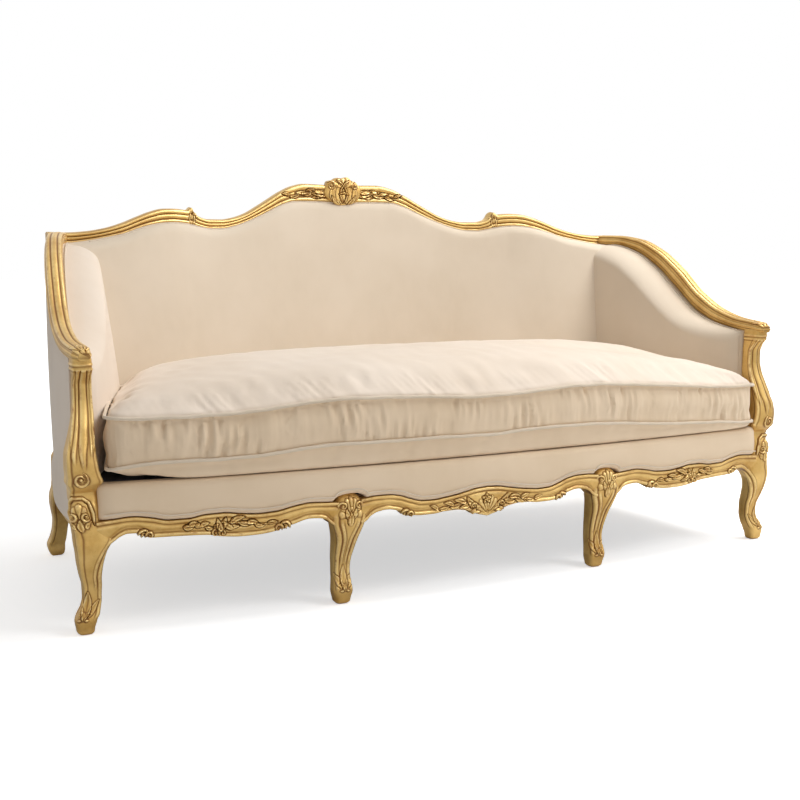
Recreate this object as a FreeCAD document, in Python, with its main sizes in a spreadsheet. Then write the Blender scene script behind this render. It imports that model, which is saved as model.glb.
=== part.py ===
# Cabriole sofa: a gilded show-wood settee with eight cabriole legs, tight back and arms
# and one long loose seat cushion. Millimetres; +X to the sitter's left as seen from the
# front, +Y to the back, +Z up; the origin is on the floor under the middle of the sofa.
import FreeCAD, Part
import os
import re
import Sketcher
from FreeCAD import Placement, Rotation, Vector

SIZES = {
    # Feet and leg blocks
    "leg_half": 960,          # middle line to the front corner feet
    "front_foot": -362,       # front corner feet, front to back
    "inner_leg": 366,         # middle line to the inner legs
    "inner_foot": -402,
    "rear_leg": 901,
    "rear_foot": 348,
    "rear_inner_foot": 425,
    "foot_width": 30,
    "toe_width": 47,
    "ankle_width": 39,
    "calf_width": 46,
    "knee_width": 57,
    "block_width": 60,
    "inner_block_width": 72,
    "ankle_in": 17,           # how far the ankle lies back from the foot, each way
    "block_in": 6,
    "toe_height": 32,
    "ankle_height": 76,
    "ankle_top": 105,
    "calf_height": 140,
    "knee_height": 190,
    "block_height": 215,      # the leg turns into its square joint block here
    "frame_top": 300,         # top of the seat frame
    "shell_low": 246,         # springing of the round-headed shell on an inner leg
    "shell_rise": 26,
    "rear_block": 246,        # rear corner blocks, front to back
    "rear_block_side": 892,
    "rear_inner_block": 329,
    # Front rail
    "front_end": -388,        # its face in line with the corner feet
    "front_bow": 78,          # how far the middle stands forward of that
    "rail_deep": 45,
    "rail_rebate": 20,        # the upper part steps back to take the padded border
    "rail_line": 251,         # mean line of the serpentine upper edge
    "rail_under": 209,        # mean line of the lower edge
    "leg_arch": 105,          # lengths of the waves along the outer rails
    "dip_span": 90,
    "hump_span": 100,
    "dip_two_span": 105,
    "centre_hump": 78,        # half lengths of the waves along the centre rail
    "centre_dip": 147,
    "wave_arch": 8,
    "wave_hump": 5,
    "wave_centre": 10,
    "arch_rise": 12,          # how far the lower edge arches up beside a leg
    "belly_drop": 9,
    "centre_drop": 24,        # the carved flower that hangs below the centre rail
    # Other seat rails
    "side_rail_deep": 42,
    "side_rail_low": 222,
    "rear_rail_low": 225,
    "rear_rail_deep": 40,
    "brace_thick": 28,
    "brace_low": 240,
    "corner_block_side": 85,
    # Back: plan curve of the front of the crest, taken at the seat frame's top
    "back_half": 875,
    "back_turn": 520,         # where the bow turns the other way
    "back_centre": 347,
    "back_bow": 130,
    "back_arch": 77,          # fall of the bow from the middle to the turn
    "back_flare": 13,
    "back_lean": 0.12,        # run per rise
    "crest_deep": 40,
    "crest_end": 898,
    "crest_fall": 720,        # stations along the crest
    "crest_swell": 600,
    "crest_notch": 495,
    "crest_slope": 330,
    "crest_turn": 170,
    "upper_end": 880,         # heights of its upper edge at the stations
    "upper_fall": 900,
    "upper_swell": 943,
    "upper_notch": 942,
    "upper_slope": 935,
    "upper_turn": 1020,
    "lower_end": 852,         # heights of its lower edge
    "lower_fall": 874,
    "lower_swell": 908,
    "lower_notch": 905,
    "lower_slope": 914,
    "lower_turn": 978,
    "crest_shell_wide": 118,
    "crest_shell_high": 78,
    "crest_shell_deep": 12,
    "crest_shell_top": 1058,
    "upright_width": 42,
    "upright_top": 850,
    "upright_side": 880,
    "upright_back": 308,
    "tack_low": 336,          # stuffing rails above the seat frame
    "tack_high": 376,
    "tack_thick": 24,
    "stay_width": 42,
    # Arms
    "arm_front": 969,         # outer face of the arm rail at its front end
    "arm_rear": 892,
    "arm_nose": -392,
    "arm_butt": 282,
    "arm_bow": 33,
    "arm_thick": 40,
    "arm_top_rear": 880,
    "arm_top_break": 828,
    "arm_top_foot": 697,
    "arm_top_nose": 628,
    "arm_low_rear": 851,
    "arm_low_break": 769,
    "arm_low_foot": 661,
    "arm_low_heel": 606,
    "post_top": 598,
    "arm_break": 38,          # stations along the arm, front to back
    "arm_foot": -132,
    "arm_low_bend": -102,
    "post_back": -314,
    "post_middle": 948,
    "post_base_width": 58,
    "post_cusp_width": 70,
    "post_swell_width": 64,
    "post_neck_width": 43,
    "post_swell_front": -386,
    "post_neck_front": -346,
    "post_cap_front": -376,
    # Upholstery
    "cover_thick": 2.5,
    "hessian_thick": 2,
    "pad_centre": 246,        # front of the back pad at the seat frame's top
    "pad_bow": 190,
    "pad_lean": 0.25,
    "pad_half": 846,
    "arm_pad_front": 912,     # inner face of the arm pad at the post and at the back
    "arm_pad_rear": 695,      # there at the frame's top, and at three times that height
    "arm_pad_rear_top": 792,
    "arm_pad_bow": 12,
    "arm_pad_nose": -312,
    "arm_pad_tail": 281,
    "border_top": 330,
    "border_proud": 3,
    "gimp_width": 13,
    "gimp_thick": 2.5,
    "strap_width": 50,
    "strap_thick": 1.8,
    "deck_pad_thick": 23,
    "deck_front_half": 900,
    "deck_rear_half": 850,
    # Seat cushion
    "cushion_half": 914,
    "cushion_rear_half": 761,
    "cushion_front": -413,
    "cushion_rear": 98,
    "cushion_front_bow": 56,
    "cushion_rear_bow": 148,
    "cushion_draw": 3,        # how far the sides pull in between the corners
    "cushion_base": 335,
    "welt_low": 370,
    "welt_high": 486,
    "boxing_bulge": 7,
    "cushion_crown": 556,
    "cushion_corner": 24,
    "crown_in": 210,
    "base_in": 26,
    "welt_radius": 4.5,
    "cushion_skin": 3,
    "core_gap": 5,            # between the filling and its cover
    # Joinery
    "glue_line": 0.2,
    "soft_gap": 0.3,
    "dowel_radius": 5,
    "dowel_length": 44,
    "dowel_gap": 0.1,
    "dowel_pitch": 30,
    "screw_radius": 2.2,
    "screw_head": 4.2,
    "screw_length": 40,
}

doc = FreeCAD.newDocument("CabrioleSofa")
sheet = doc.addObject("Spreadsheet::Sheet", "sizes")
for row, (word, size) in enumerate(SIZES.items(), 1):
    sheet.set(f"A{row}", word)
    sheet.set(f"B{row}", str(size))
    sheet.setAlias(f"B{row}", word)
doc.recompute()

WORDS = re.compile(r"\b(" + "|".join(sorted(SIZES, key=len, reverse=True)) + r")\b")
PLANES = {
    "XY": Rotation(),
    "XZ": Rotation(Vector(1, 0, 0), 90),
    "YZ": Rotation(Vector(1, 1, 1), 120),
}
nodes = {}


def bound(text):
    """An expression in which every size refers to its cell."""
    return WORDS.sub(r"<<sizes>>.\1", str(text))


def number(text):
    return float(sheet.evalExpression(bound(text)))


def bind(thing, name, text):
    thing.setExpression(name, bound(text))


def keep(label, thing):
    """Names a finished piece; its label is the name of its file."""
    thing.Label = label
    nodes[label] = thing
    return thing


# Sketches and simple solids

def arc_between(start, end, rise):
    """The arc from start to end that rises to the left of the way, and which end is first."""
    chord = end - start
    middle = (start + end) * 0.5
    left = Vector(-chord.y, chord.x, 0).normalize()
    radius = (chord.Length ** 2 / 4 + rise ** 2) / (2 * abs(rise))
    side = 1 if rise > 0 else -1
    centre = middle + left * (rise - side * radius)
    first, last = (end, start) if rise > 0 else (start, end)
    axis = Vector(1, 0, 0)
    up = Vector(0, 0, 1)
    angle_one = (first - centre).getAngle(axis)
    angle_two = (last - centre).getAngle(axis)
    angle_one = angle_one if (first - centre).y >= 0 else -angle_one
    angle_two = angle_two if (last - centre).y >= 0 else -angle_two
    circle = Part.Circle(centre, up, radius)
    return Part.ArcOfCircle(circle, angle_one, angle_two), (2 if rise > 0 else 1)


def draw(sketch, corners, rises=None):
    """A closed outline through corners; a side with a rise is an arc, the others are straight."""
    rises = rises or [None] * len(corners)
    points = [Vector(number(across), number(along), 0) for across, along in corners]
    sides = []
    for index, rise in enumerate(rises):
        start, end = points[index], points[(index + 1) % len(points)]
        if rise is None:
            sides.append((sketch.addGeometry(Part.LineSegment(start, end), False), 1))
        else:
            arc, first = arc_between(start, end, number(rise))
            sides.append((sketch.addGeometry(arc, False), first))
    for index, (side, first) in enumerate(sides):
        following = (index + 1) % len(sides)
        for axis, text in zip(("DistanceX", "DistanceY"), corners[index]):
            place = sketch.addConstraint(
                Sketcher.Constraint(axis, -1, 1, side, first, number(text)))
            bind(sketch, f"Constraints[{place}]", text)
        sketch.addConstraint(
            Sketcher.Constraint("Coincident", side, 3 - first, *sides[following]))
        if rises[index] is not None:
            (from_x, from_y), (to_x, to_y) = corners[index], corners[following]
            rise = rises[index]
            radius = (f"abs(((({to_x})-({from_x}))^2 + (({to_y})-({from_y}))^2) / (8*({rise}))"
                      f" + ({rise})/2)")
            place = sketch.addConstraint(Sketcher.Constraint("Radius", side, number(radius)))
            bind(sketch, f"Constraints[{place}]", radius)
    return sketch


def body(label):
    return doc.addObject("PartDesign::Body", label)


def sketch_in(owner, plane, corners, rises=None, height="0"):
    """A sketch on one of a body's own planes, moved along that plane's normal."""
    sketch = owner.newObject("Sketcher::SketchObject", "outline")
    role = plane + "_Plane"
    base = [part for part in owner.Origin.OriginFeatures if part.Role == role][0]
    sketch.AttachmentSupport = [(base, "")]
    sketch.MapMode = "FlatFace"
    bind(sketch, "AttachmentOffset.Base.z", height)
    return draw(sketch, corners, rises)


def prism(plane, corners, rises=None, start="0", length=None, lean=None):
    """A free solid: an outline at start, pushed along its normal, or both ways if no length."""
    sketch = doc.addObject("Sketcher::SketchObject", "outline")
    sketch.Placement = Placement(Vector(0, 0, 0), PLANES[plane])
    draw(sketch, corners, rises)
    if plane == "XY":
        bind(sketch, "Placement.Base.z", start)
    solid = doc.addObject("Part::Extrusion", "prism")
    solid.Base = sketch
    solid.Solid = True
    solid.DirMode = "Custom"
    solid.Dir = PLANES[plane].multVec(Vector(0, 0, 1))
    if lean is not None:
        bind(solid, "Dir.y", lean)
    if length is None:
        solid.Symmetric = True
        bind(solid, "LengthFwd", "4*leg_half")
    else:
        bind(solid, "LengthFwd", length)
    return solid


def common(*parts):
    solid = doc.addObject("Part::MultiCommon", "common")
    solid.Shapes = list(parts)
    return solid


def fuse(*parts):
    solid = doc.addObject("Part::MultiFuse", "fused")
    solid.Shapes = list(parts)
    return solid


def cut(base, tool):
    solid = doc.addObject("Part::Cut", "trimmed")
    solid.Base = base
    solid.Tool = tool
    return solid


def group(parts):
    compound = doc.addObject("Part::Compound", "group")
    compound.Links = list(parts)
    return compound


def mirrored(source):
    twin = doc.addObject("Part::Mirroring", "mirrored")
    twin.Source = source
    twin.Normal = Vector(1, 0, 0)
    return twin


def box(low, high):
    """A block between two corners, each given as three sizes."""
    block = doc.addObject("Part::Box", "block")
    for axis, side, from_text, to_text in zip("xyz", ("Length", "Width", "Height"), low, high):
        bind(block, f"Placement.Base.{axis}", from_text)
        bind(block, side, f"({to_text}) - ({from_text})")
    return block


def rod(radius, length, middle, along):
    """A round bar centred at middle, lying along X, Y or Z."""
    bar = doc.addObject("Part::Cylinder", "rod")
    bind(bar, "Radius", radius)
    bind(bar, "Height", length)
    turns = {"x": Rotation(Vector(0, 1, 0), 90), "y": Rotation(Vector(1, 0, 0), -90), "z": Rotation()}
    bar.Placement = Placement(Vector(0, 0, 0), turns[along])
    for axis, text in zip("xyz", middle):
        shift = f"({text}) - ({length})/2" if axis == along else text
        bind(bar, f"Placement.Base.{axis}", shift)
    return bar


def both_sides(corners):
    """The corners of one side followed by the same corners mirrored, back along the other."""
    return corners + [(f"-({across})", along) for across, along in reversed(corners)]


def rounded(middle, width, depth, radius):
    """Outline of a rectangle with round corners, for the sections of legs and posts."""
    (across, along) = middle
    half_w, half_d = f"({width})/2", f"({depth})/2"
    corners = []
    for side_x, side_y, first in ((1, -1, "x"), (1, 1, "y"), (-1, 1, "x"), (-1, -1, "y")):
        pair = [
            (f"({across}) + {side_x}*({half_w} - {radius})", f"({along}) + {side_y}*({half_d})"),
            (f"({across}) + {side_x}*({half_w})", f"({along}) + {side_y}*({half_d} - {radius})"),
        ]
        corners += pair if first == "x" else pair[::-1]
    fold = f"-0.29289*({radius})"
    return corners, [fold, None] * 4


def loft(owner, sections):
    """A smooth loft through rounded sections: (height, middle, width, depth)."""
    outlines = []
    for height, middle, width, depth in sections:
        corners, rises = rounded(middle, width, depth, f"0.28*({width})")
        outlines.append(sketch_in(owner, "XY", corners, rises, height))
    skin = owner.newObject("PartDesign::AdditiveLoft", "loft")
    skin.Profile = outlines[0]
    skin.Sections = outlines[1:]
    return skin


def pad(owner, corners, low, high, rises=None):
    block = owner.newObject("PartDesign::Pad", "pad")
    block.Profile = sketch_in(owner, "XY", corners, rises, low)
    bind(block, "Length", f"({high}) - ({low})")
    return block


def square(middle, width, depth):
    across, along = middle
    return [(f"({across}) + {sx}*({width})/2", f"({along}) + {sy}*({depth})/2")
            for sx, sy in ((-1, -1), (1, -1), (1, 1), (-1, 1))]


# Legs: carved cabriole legs below a square block that takes the rails

INNER_BLOCK_NEAR = "inner_leg - 4 - inner_block_width/2"
INNER_BLOCK_FAR = "inner_leg - 4 + inner_block_width/2"
OUTER_BLOCK_NEAR = "leg_half - block_in - block_width/2"


def front_leg():
    owner = body("front_leg_blank")
    inward = "leg_half - ankle_in", "front_foot + ankle_in"
    block = "leg_half - block_in", "front_foot + block_in"
    knee = "leg_half - block_in - 2", "front_foot + block_in - 2"
    calf = "leg_half - 0.6*ankle_in", "front_foot + 0.6*ankle_in"
    loft(owner, [
        ("0", ("leg_half", "front_foot"), "foot_width", "foot_width"),
        ("toe_height", ("leg_half", "front_foot"), "toe_width", "toe_width"),
        ("ankle_height", inward, "ankle_width", "ankle_width"),
        ("ankle_top", inward, "ankle_width", "ankle_width"),
        ("calf_height", calf, "calf_width", "calf_width"),
        ("knee_height", knee, "knee_width", "knee_width"),
        ("block_height", block, "block_width", "block_width"),
    ])
    pad(owner, square(block, "block_width", "block_width"), "block_height", "frame_top")
    return owner


def inner_front_leg():
    owner = body("inner_leg_blank")
    block = "inner_leg - 4", "inner_foot - 29"
    loft(owner, [
        ("0", ("inner_leg", "inner_foot"), "foot_width", "foot_width"),
        ("toe_height", ("inner_leg", "inner_foot - 4"), "toe_width", "toe_width"),
        ("ankle_height", ("inner_leg", "inner_foot + 9"), "ankle_width", "ankle_width"),
        ("ankle_top", ("inner_leg", "inner_foot + 6"), "ankle_width", "ankle_width"),
        ("calf_height", ("inner_leg - 1", "inner_foot - 3"), "calf_width + 2", "calf_width"),
        ("knee_height", ("inner_leg - 3", "inner_foot - 19"), "knee_width + 4", "knee_width"),
        ("block_height", block, "inner_block_width", "block_width"),
    ])
    pad(owner, square(block, "inner_block_width", "block_width"), "block_height", "shell_low")
    upper = [("inner_leg - 4 - inner_block_width/2", "inner_foot - 29"),
             ("inner_leg - 4 + inner_block_width/2", "inner_foot - 29"),
             ("inner_leg - 4 + inner_block_width/2", "inner_foot + 1"),
             ("inner_leg - 4 - inner_block_width/2", "inner_foot + 1")]
    pad(owner, upper, "block_height", "frame_top")
    head = prism("XZ", [(f"{INNER_BLOCK_NEAR} + 3", "shell_low - 20"),
                        (f"{INNER_BLOCK_FAR} - 3", "shell_low - 20"),
                        (f"{INNER_BLOCK_FAR} - 3", "shell_low - 0.1"),
                        (f"{INNER_BLOCK_NEAR} + 3", "shell_low - 0.1")],
                 [None, None, "-shell_rise", None])
    room = box((INNER_BLOCK_NEAR, "inner_foot - 59", "shell_low - 20"),
               (INNER_BLOCK_FAR, "inner_foot - 34", "frame_top"))
    return fuse(owner, common(head, room))


def rear_leg():
    owner = body("rear_leg_blank")
    ankle = "rear_leg - ankle_in", "rear_foot - 0.9*ankle_in"
    knee = "rear_block_side + 5", "rear_block + 20"
    block = "rear_block_side", "rear_block"
    loft(owner, [
        ("0", ("rear_leg", "rear_foot"), "foot_width", "foot_width"),
        ("toe_height", ("rear_leg", "rear_foot + 4"), "toe_width", "toe_width"),
        ("ankle_height", ankle, "ankle_width", "ankle_width"),
        ("ankle_top", ("rear_leg - ankle_in", "rear_foot - 30"), "ankle_width", "ankle_width"),
        ("calf_height", ("rear_leg - 11", "rear_foot - 52"), "calf_width", "calf_width"),
        ("knee_height", knee, "knee_width", "knee_width"),
        ("block_height", block, "block_width", "block_width"),
    ])
    pad(owner, square(block, "block_width", "block_width"), "block_height", "frame_top")
    foot_of_post = square(block, "upright_width", "upright_width")
    head_of_post = square(("upright_side", "upright_back"), "upright_width", "upright_width")
    upright = owner.newObject("PartDesign::AdditiveLoft", "upright")
    upright.Profile = sketch_in(owner, "XY", foot_of_post, None, "frame_top")
    upright.Sections = [sketch_in(owner, "XY", head_of_post, None, "upright_top")]
    upright.Ruled = True
    return owner


def rear_inner_leg():
    owner = body("rear_inner_leg_blank")
    top = "inner_leg", "rear_inner_block"
    loft(owner, [
        ("0", ("inner_leg", "rear_inner_foot"), "foot_width", "foot_width"),
        ("toe_height", ("inner_leg", "rear_inner_foot + 4"), "toe_width", "toe_width"),
        ("ankle_height", ("inner_leg", "rear_inner_foot - 18"), "ankle_width", "ankle_width"),
        ("ankle_top", ("inner_leg", "rear_inner_foot - 32"), "ankle_width", "ankle_width"),
        ("calf_height", ("inner_leg", "rear_inner_foot - 53"), "calf_width", "calf_width"),
        ("knee_height", ("inner_leg", "rear_inner_block + 16"), "knee_width - 9", "knee_width - 9"),
        ("rear_rail_low - glue_line", top, "rear_rail_deep - 2", "rear_rail_deep - 2"),
    ])
    return owner


# Arm posts: an S in side view, with a broad scrolled base

def arm_post():
    owner = body("arm_post_blank")

    def section(height, across, width, front):
        middle = across, f"(({front}) + post_back)/2"
        return height, middle, width, f"post_back - ({front})"

    loft(owner, [
        section("frame_top + glue_line", "post_middle + 7", "post_base_width", "post_cap_front"),
        section("341", "post_middle + 5", "post_cusp_width", "post_swell_front + 3"),
        section("373", "post_middle + 11", "post_cusp_width - 2", "post_swell_front"),
        section("400", "post_middle + 12", "post_swell_width", "post_swell_front + 5"),
        section("454", "post_middle + 4", "post_neck_width + 7", "post_neck_front - 20"),
        section("520", "post_middle", "post_neck_width", "post_neck_front"),
        section("570", "post_middle", "post_neck_width", "post_neck_front - 8"),
        section("post_top - glue_line", "post_middle", "post_neck_width - 3", "post_cap_front"),
    ])
    return owner


# Dowels through the glued joints, and the holes for them

def dowel_places():
    """Where each dowel of the right half is centred, and the way it lies."""
    corner_y = "front_foot + block_in + 2"
    inner_y = "inner_foot - 21"
    places = []
    for height in ("rail_under + 20", "rail_under + 20 + dowel_pitch"):
        places += [
            ((OUTER_BLOCK_NEAR, corner_y, height), "x"),
            ((INNER_BLOCK_FAR, inner_y, height), "x"),
            ((INNER_BLOCK_NEAR, inner_y, height), "x"),
            (("rear_block_side - block_width/2", "rear_block - 5", f"{height} + 15"), "x"),
            (("leg_half - block_in - 10", "front_foot + block_in + block_width/2",
              f"{height} + 15"), "y"),
            (("rear_block_side - 2", "rear_block - block_width/2", f"{height} + 15"), "y"),
        ]
    places += [
        (("leg_half - block_in", "front_foot + block_in + 5", "frame_top"), "z"),
        (("inner_leg", "rear_inner_block", "rear_rail_low"), "z"),
        (("post_middle", "(post_cap_front + post_back)/2", "post_top"), "z"),
    ]
    return places


def dowels(extra_radius, extra_length):
    rods = []
    for middle, along in dowel_places():
        pin = rod(f"dowel_radius + {extra_radius}", f"dowel_length + {extra_length}", middle, along)
        rods += [pin, mirrored(pin)]
    return group(rods)


dowel_holes = dowels("dowel_gap", "2*dowel_gap")


# Serpentine seat rails at the front

def front_curve(shift):
    """The bowed plan line of the front, moved back by shift."""
    ends = f"front_end + ({shift})"
    return [("-leg_half", ends), ("leg_half", ends)], "-front_bow"


def front_band(near, far, low=None, high=None):
    """An upright bowed board between two plan lines."""
    (left, right), bow = front_curve(near)
    (far_left, far_right), _ = front_curve(far)
    start, length = (low, f"({high}) - ({low})") if low else ("0", "2*border_top")
    return prism("XY", [left, right, far_right, far_left], [bow, None, "front_bow", None],
                 start, length)


RAIL_STATIONS = [
    OUTER_BLOCK_NEAR + " - glue_line",
    OUTER_BLOCK_NEAR + " - leg_arch",
    OUTER_BLOCK_NEAR + " - leg_arch - dip_span",
    OUTER_BLOCK_NEAR + " - leg_arch - dip_span - hump_span",
    OUTER_BLOCK_NEAR + " - leg_arch - dip_span - hump_span - dip_two_span",
    INNER_BLOCK_FAR + " + glue_line",
]
OUTER_WAVES = ["wave_arch", "-wave_hump", "wave_hump", "-wave_hump", "wave_centre"]


def outer_wave(lift):
    """Upper edge of the outer rail from the inner leg out to the corner leg."""
    corners = [(station, f"rail_line + ({lift})") for station in reversed(RAIL_STATIONS)]
    return corners, [wave for wave in reversed(OUTER_WAVES)]


def outer_rail():
    upper, upper_rises = outer_wave("0")
    under = [
        (RAIL_STATIONS[0], "rail_under + 6"),
        (RAIL_STATIONS[1] + " + 20", "rail_under + 5"),
        (RAIL_STATIONS[1] + " + 20", "rail_under"),
        (RAIL_STATIONS[2], "rail_under - 2"),
        (RAIL_STATIONS[4] + " + 10", "rail_under - 2"),
        (RAIL_STATIONS[4] + " - 10", "rail_under + 5"),
        (RAIL_STATIONS[5], "rail_under + 5"),
    ]
    under_rises = ["-arch_rise", None, None, "belly_drop", None, "-arch_rise", None]
    show = prism("XZ", upper + under, upper_rises + [None] + under_rises)
    lower = common(show, front_band("0", "rail_deep"))
    upper_part = prism("XZ", [(RAIL_STATIONS[5], "rail_line - 30"), (RAIL_STATIONS[0], "rail_line - 30"),
                              (RAIL_STATIONS[0], "frame_top"), (RAIL_STATIONS[5], "frame_top")])
    tongue = common(upper_part, front_band("rail_rebate", "rail_deep"))
    return fuse(lower, tongue)


def centre_rail():
    end = INNER_BLOCK_NEAR + " - glue_line"
    upper = [("-centre_hump", "rail_line"), ("centre_hump", "rail_line"),
             ("centre_hump + centre_dip", "rail_line"), (end, "rail_line + 4")]
    half_under = [(end, "rail_under + 7"), ("centre_hump + centre_dip + 4", "rail_under + 3"),
                  ("centre_hump + centre_dip", "rail_under"), ("centre_hump + 7", "rail_under + 1")]
    corners = upper + half_under + [(f"-({x})", z) for x, z in reversed(half_under)]
    corners += [(f"-({x})", z) for x, z in reversed(upper[2:])]
    rises = ["wave_centre", "-wave_centre", "wave_centre + 1", None,
             "-arch_rise", None, "belly_drop - 5", "centre_drop", "belly_drop - 5", None,
             "-arch_rise", None, "wave_centre + 1", "-wave_centre"]
    show = prism("XZ", corners, rises)
    lower = common(show, front_band("0", "rail_deep"))
    board = prism("XZ", [(f"-({end})", "rail_line - 30"), (end, "rail_line - 30"),
                         (end, "frame_top"), (f"-({end})", "frame_top")])
    return fuse(lower, common(board, front_band("rail_rebate", "rail_deep")))


# Plan of the arms: bowed lines from the nose to the back corner

def arm_band(outer, inner, low="frame_top", high="3*frame_top"):
    """An upright bowed board; outer and inner are insets from the arm rail's outer face."""
    corners = [(f"arm_front - ({outer})", "arm_nose"), (f"arm_rear - ({outer})", "arm_butt + 6"),
               (f"arm_rear - ({inner})", "arm_butt + 6"), (f"arm_front - ({inner})", "arm_nose")]
    return prism("XY", corners, ["-arm_bow", None, "arm_bow", None], low, f"({high}) - ({low})")


def slab(nose, tail, low, high):
    """A side view that keeps what lies between two heights and two depths."""
    return prism("YZ", [(nose, low), (tail, low), (tail, high), (nose, high)])


def side_rail():
    nose = "front_foot + block_in + block_width/2 + glue_line"
    tail = "rear_block - block_width/2 - glue_line"
    corners = [("arm_front - 9", nose), ("rear_block_side + block_width/2 - 4", tail),
               ("rear_block_side + block_width/2 - 4 - side_rail_deep", tail),
               ("arm_front - 9 - side_rail_deep", nose)]
    rises = ["-0.6*arm_bow", None, "0.6*arm_bow", None]
    board = prism("XY", corners, rises, "rail_under", "frame_top - rail_under")
    underline = [(nose, "rail_under + 4"), (tail, "rail_under + 4"),
                 (tail, "frame_top"), (nose, "frame_top")]
    profile = prism("YZ", underline, ["0.8*arch_rise", None, None, None])
    return common(board, profile)


def arm_rail():
    butt = "arm_butt + back_lean*(arm_top_rear - arm_low_rear)"
    upper = [(butt, "arm_top_rear"), ("arm_break", "arm_top_break"),
             ("arm_foot", "arm_top_foot"), ("arm_nose", "arm_top_nose")]
    lower = [("arm_nose", "arm_low_heel"), ("arm_nose + 8", "post_top"),
             ("post_back + 4", "post_top"), ("post_back + 14", "arm_low_heel"),
             ("arm_low_bend", "arm_low_foot"), ("arm_break", "arm_low_break"),
             ("arm_butt", "arm_low_rear")]
    rises = ["-18", None, "17", None, None, None, None, "-11", None, "25", None]
    profile = prism("YZ", upper + lower, rises)
    return common(profile, arm_band("0", "arm_thick"))


def under_arm(nose, tail, low, drop):
    """Side view of what fills the arm below its rail, between two depths."""
    corners = [("arm_nose", low), ("arm_butt", low), ("arm_butt", f"arm_low_rear - ({drop})"),
               ("arm_break", f"arm_low_break - ({drop})"),
               ("arm_low_bend", f"arm_low_foot - ({drop})"),
               ("post_back + 15", f"arm_low_heel - ({drop})"),
               ("post_back + 4", f"post_top - ({drop})"), ("arm_nose", f"post_top - ({drop})")]
    view = prism("YZ", corners, [None, None, "-25", None, "11", None, None, None])
    return common(view, slab(nose, tail, low, "4*frame_top"))


# Plan and front view of the back

def back_line(shift, end="back_half", bow="back_bow", centre="back_centre", arch="back_arch"):
    """The bowed plan line of the back from right to left, moved back by shift."""
    ends = f"{centre} - {bow} + ({shift})"
    turns = f"{centre} - {arch} + ({shift})"
    corners = [(end, ends), ("back_turn", turns), ("-back_turn", turns), (f"-({end})", ends)]
    return corners, ["back_flare", f"-({arch})", "back_flare"]


def back_band(near, far, start="frame_top", length="2*frame_top + 200", lean="back_lean"):
    """A bowed board that leans with the back, between two plan lines."""
    front, rises = back_line(near, "crest_end")
    rear, _ = back_line(far, "crest_end")
    front_rises = ["back_flare", "-back_arch", "back_flare"]
    rear_rises = ["-back_flare", "back_arch", "-back_flare"]
    return prism("XY", front + rear[::-1], front_rises + [None] + rear_rises + [None],
                 start, length, lean)


CREST_X = ["crest_end", "crest_fall", "crest_swell", "crest_notch", "crest_slope", "crest_turn"]
UPPER = ["upper_end", "upper_fall", "upper_swell", "upper_notch", "upper_slope", "upper_turn"]
LOWER = ["lower_end", "lower_fall", "lower_swell", "lower_notch", "lower_slope", "lower_turn"]


def crest_side():
    upper = list(zip(CREST_X[:4], UPPER[:4]))
    lower = list(zip(CREST_X[:4], LOWER[:4]))
    upper[3] = ("crest_notch + glue_line/2", UPPER[3])
    lower[3] = ("crest_notch + glue_line/2", LOWER[3])
    view = prism("XZ", upper + lower[::-1], ["8", None, "-7", None, "4", None, "-6", None])
    return common(view, back_band("0", "crest_deep"))


def crest_middle():
    upper = list(zip(CREST_X[3:], UPPER[3:]))
    lower = list(zip(CREST_X[3:], LOWER[3:]))
    upper[0] = ("crest_notch - glue_line/2", UPPER[3])
    lower[0] = ("crest_notch - glue_line/2", LOWER[3])
    corners = both_sides(upper) + both_sides(lower)[::-1]
    rises = ["19", None, "-10", None, "19", None, "-13", None, "3", None, "-13", None]
    view = prism("XZ", corners, rises)
    return common(view, back_band("0", "crest_deep"))


def under_crest(half, low, drop):
    """Front view of what fills the back below the crest."""
    heights = [f"{height} - ({drop})" for height in LOWER]
    side = [(half, low), (half, heights[0])] + list(zip(CREST_X[1:], heights[1:]))
    rises = [None, "6", None, "-4", "13", None, "-3", None, "13", "-4", None, "6", None, None]
    return prism("XZ", both_sides(side), rises)


def behind_face(shift, length="900"):
    """All that lies behind the padded face of the back, moved back by shift."""
    front, _ = back_line(shift, "leg_half", "pad_bow", "pad_centre", "back_arch")
    far = [("-leg_half", "2*leg_half"), ("leg_half", "2*leg_half")]
    rises = ["back_flare", "-back_arch", "back_flare", None, None, None]
    return prism("XY", front + far, rises, "frame_top", length, "pad_lean")


def before_face(shift, length="900"):
    """All that lies before the padded face of the back, moved back by shift."""
    front, _ = back_line(shift, "leg_half", "pad_bow", "pad_centre", "back_arch")
    far = [("-leg_half", "-2*leg_half"), ("leg_half", "-2*leg_half")]
    rises = ["back_flare", "-back_arch", "back_flare", None, None, None]
    return prism("XY", front + far, rises, "frame_top", length, "pad_lean")


# Wood

right_leg = keep("right_front_leg", cut(front_leg(), dowel_holes))
keep("left_front_leg", mirrored(right_leg))
right_inner = keep("right_inner_front_leg", cut(inner_front_leg(), dowel_holes))
keep("left_inner_front_leg", mirrored(right_inner))
right_rear = keep("right_rear_leg", cut(rear_leg(), dowel_holes))
keep("left_rear_leg", mirrored(right_rear))
right_rear_inner = keep("right_inner_rear_leg", cut(rear_inner_leg(), dowel_holes))
keep("left_inner_rear_leg", mirrored(right_rear_inner))
right_post = keep("right_arm_post", cut(arm_post(), dowel_holes))
keep("left_arm_post", mirrored(right_post))

right_rail = keep("right_front_rail", cut(outer_rail(), dowel_holes))
keep("left_front_rail", mirrored(right_rail))
middle_rail = keep("centre_front_rail", cut(centre_rail(), dowel_holes))
right_side = keep("right_side_rail", cut(side_rail(), dowel_holes))
left_side = keep("left_side_rail", mirrored(right_side))

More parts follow.
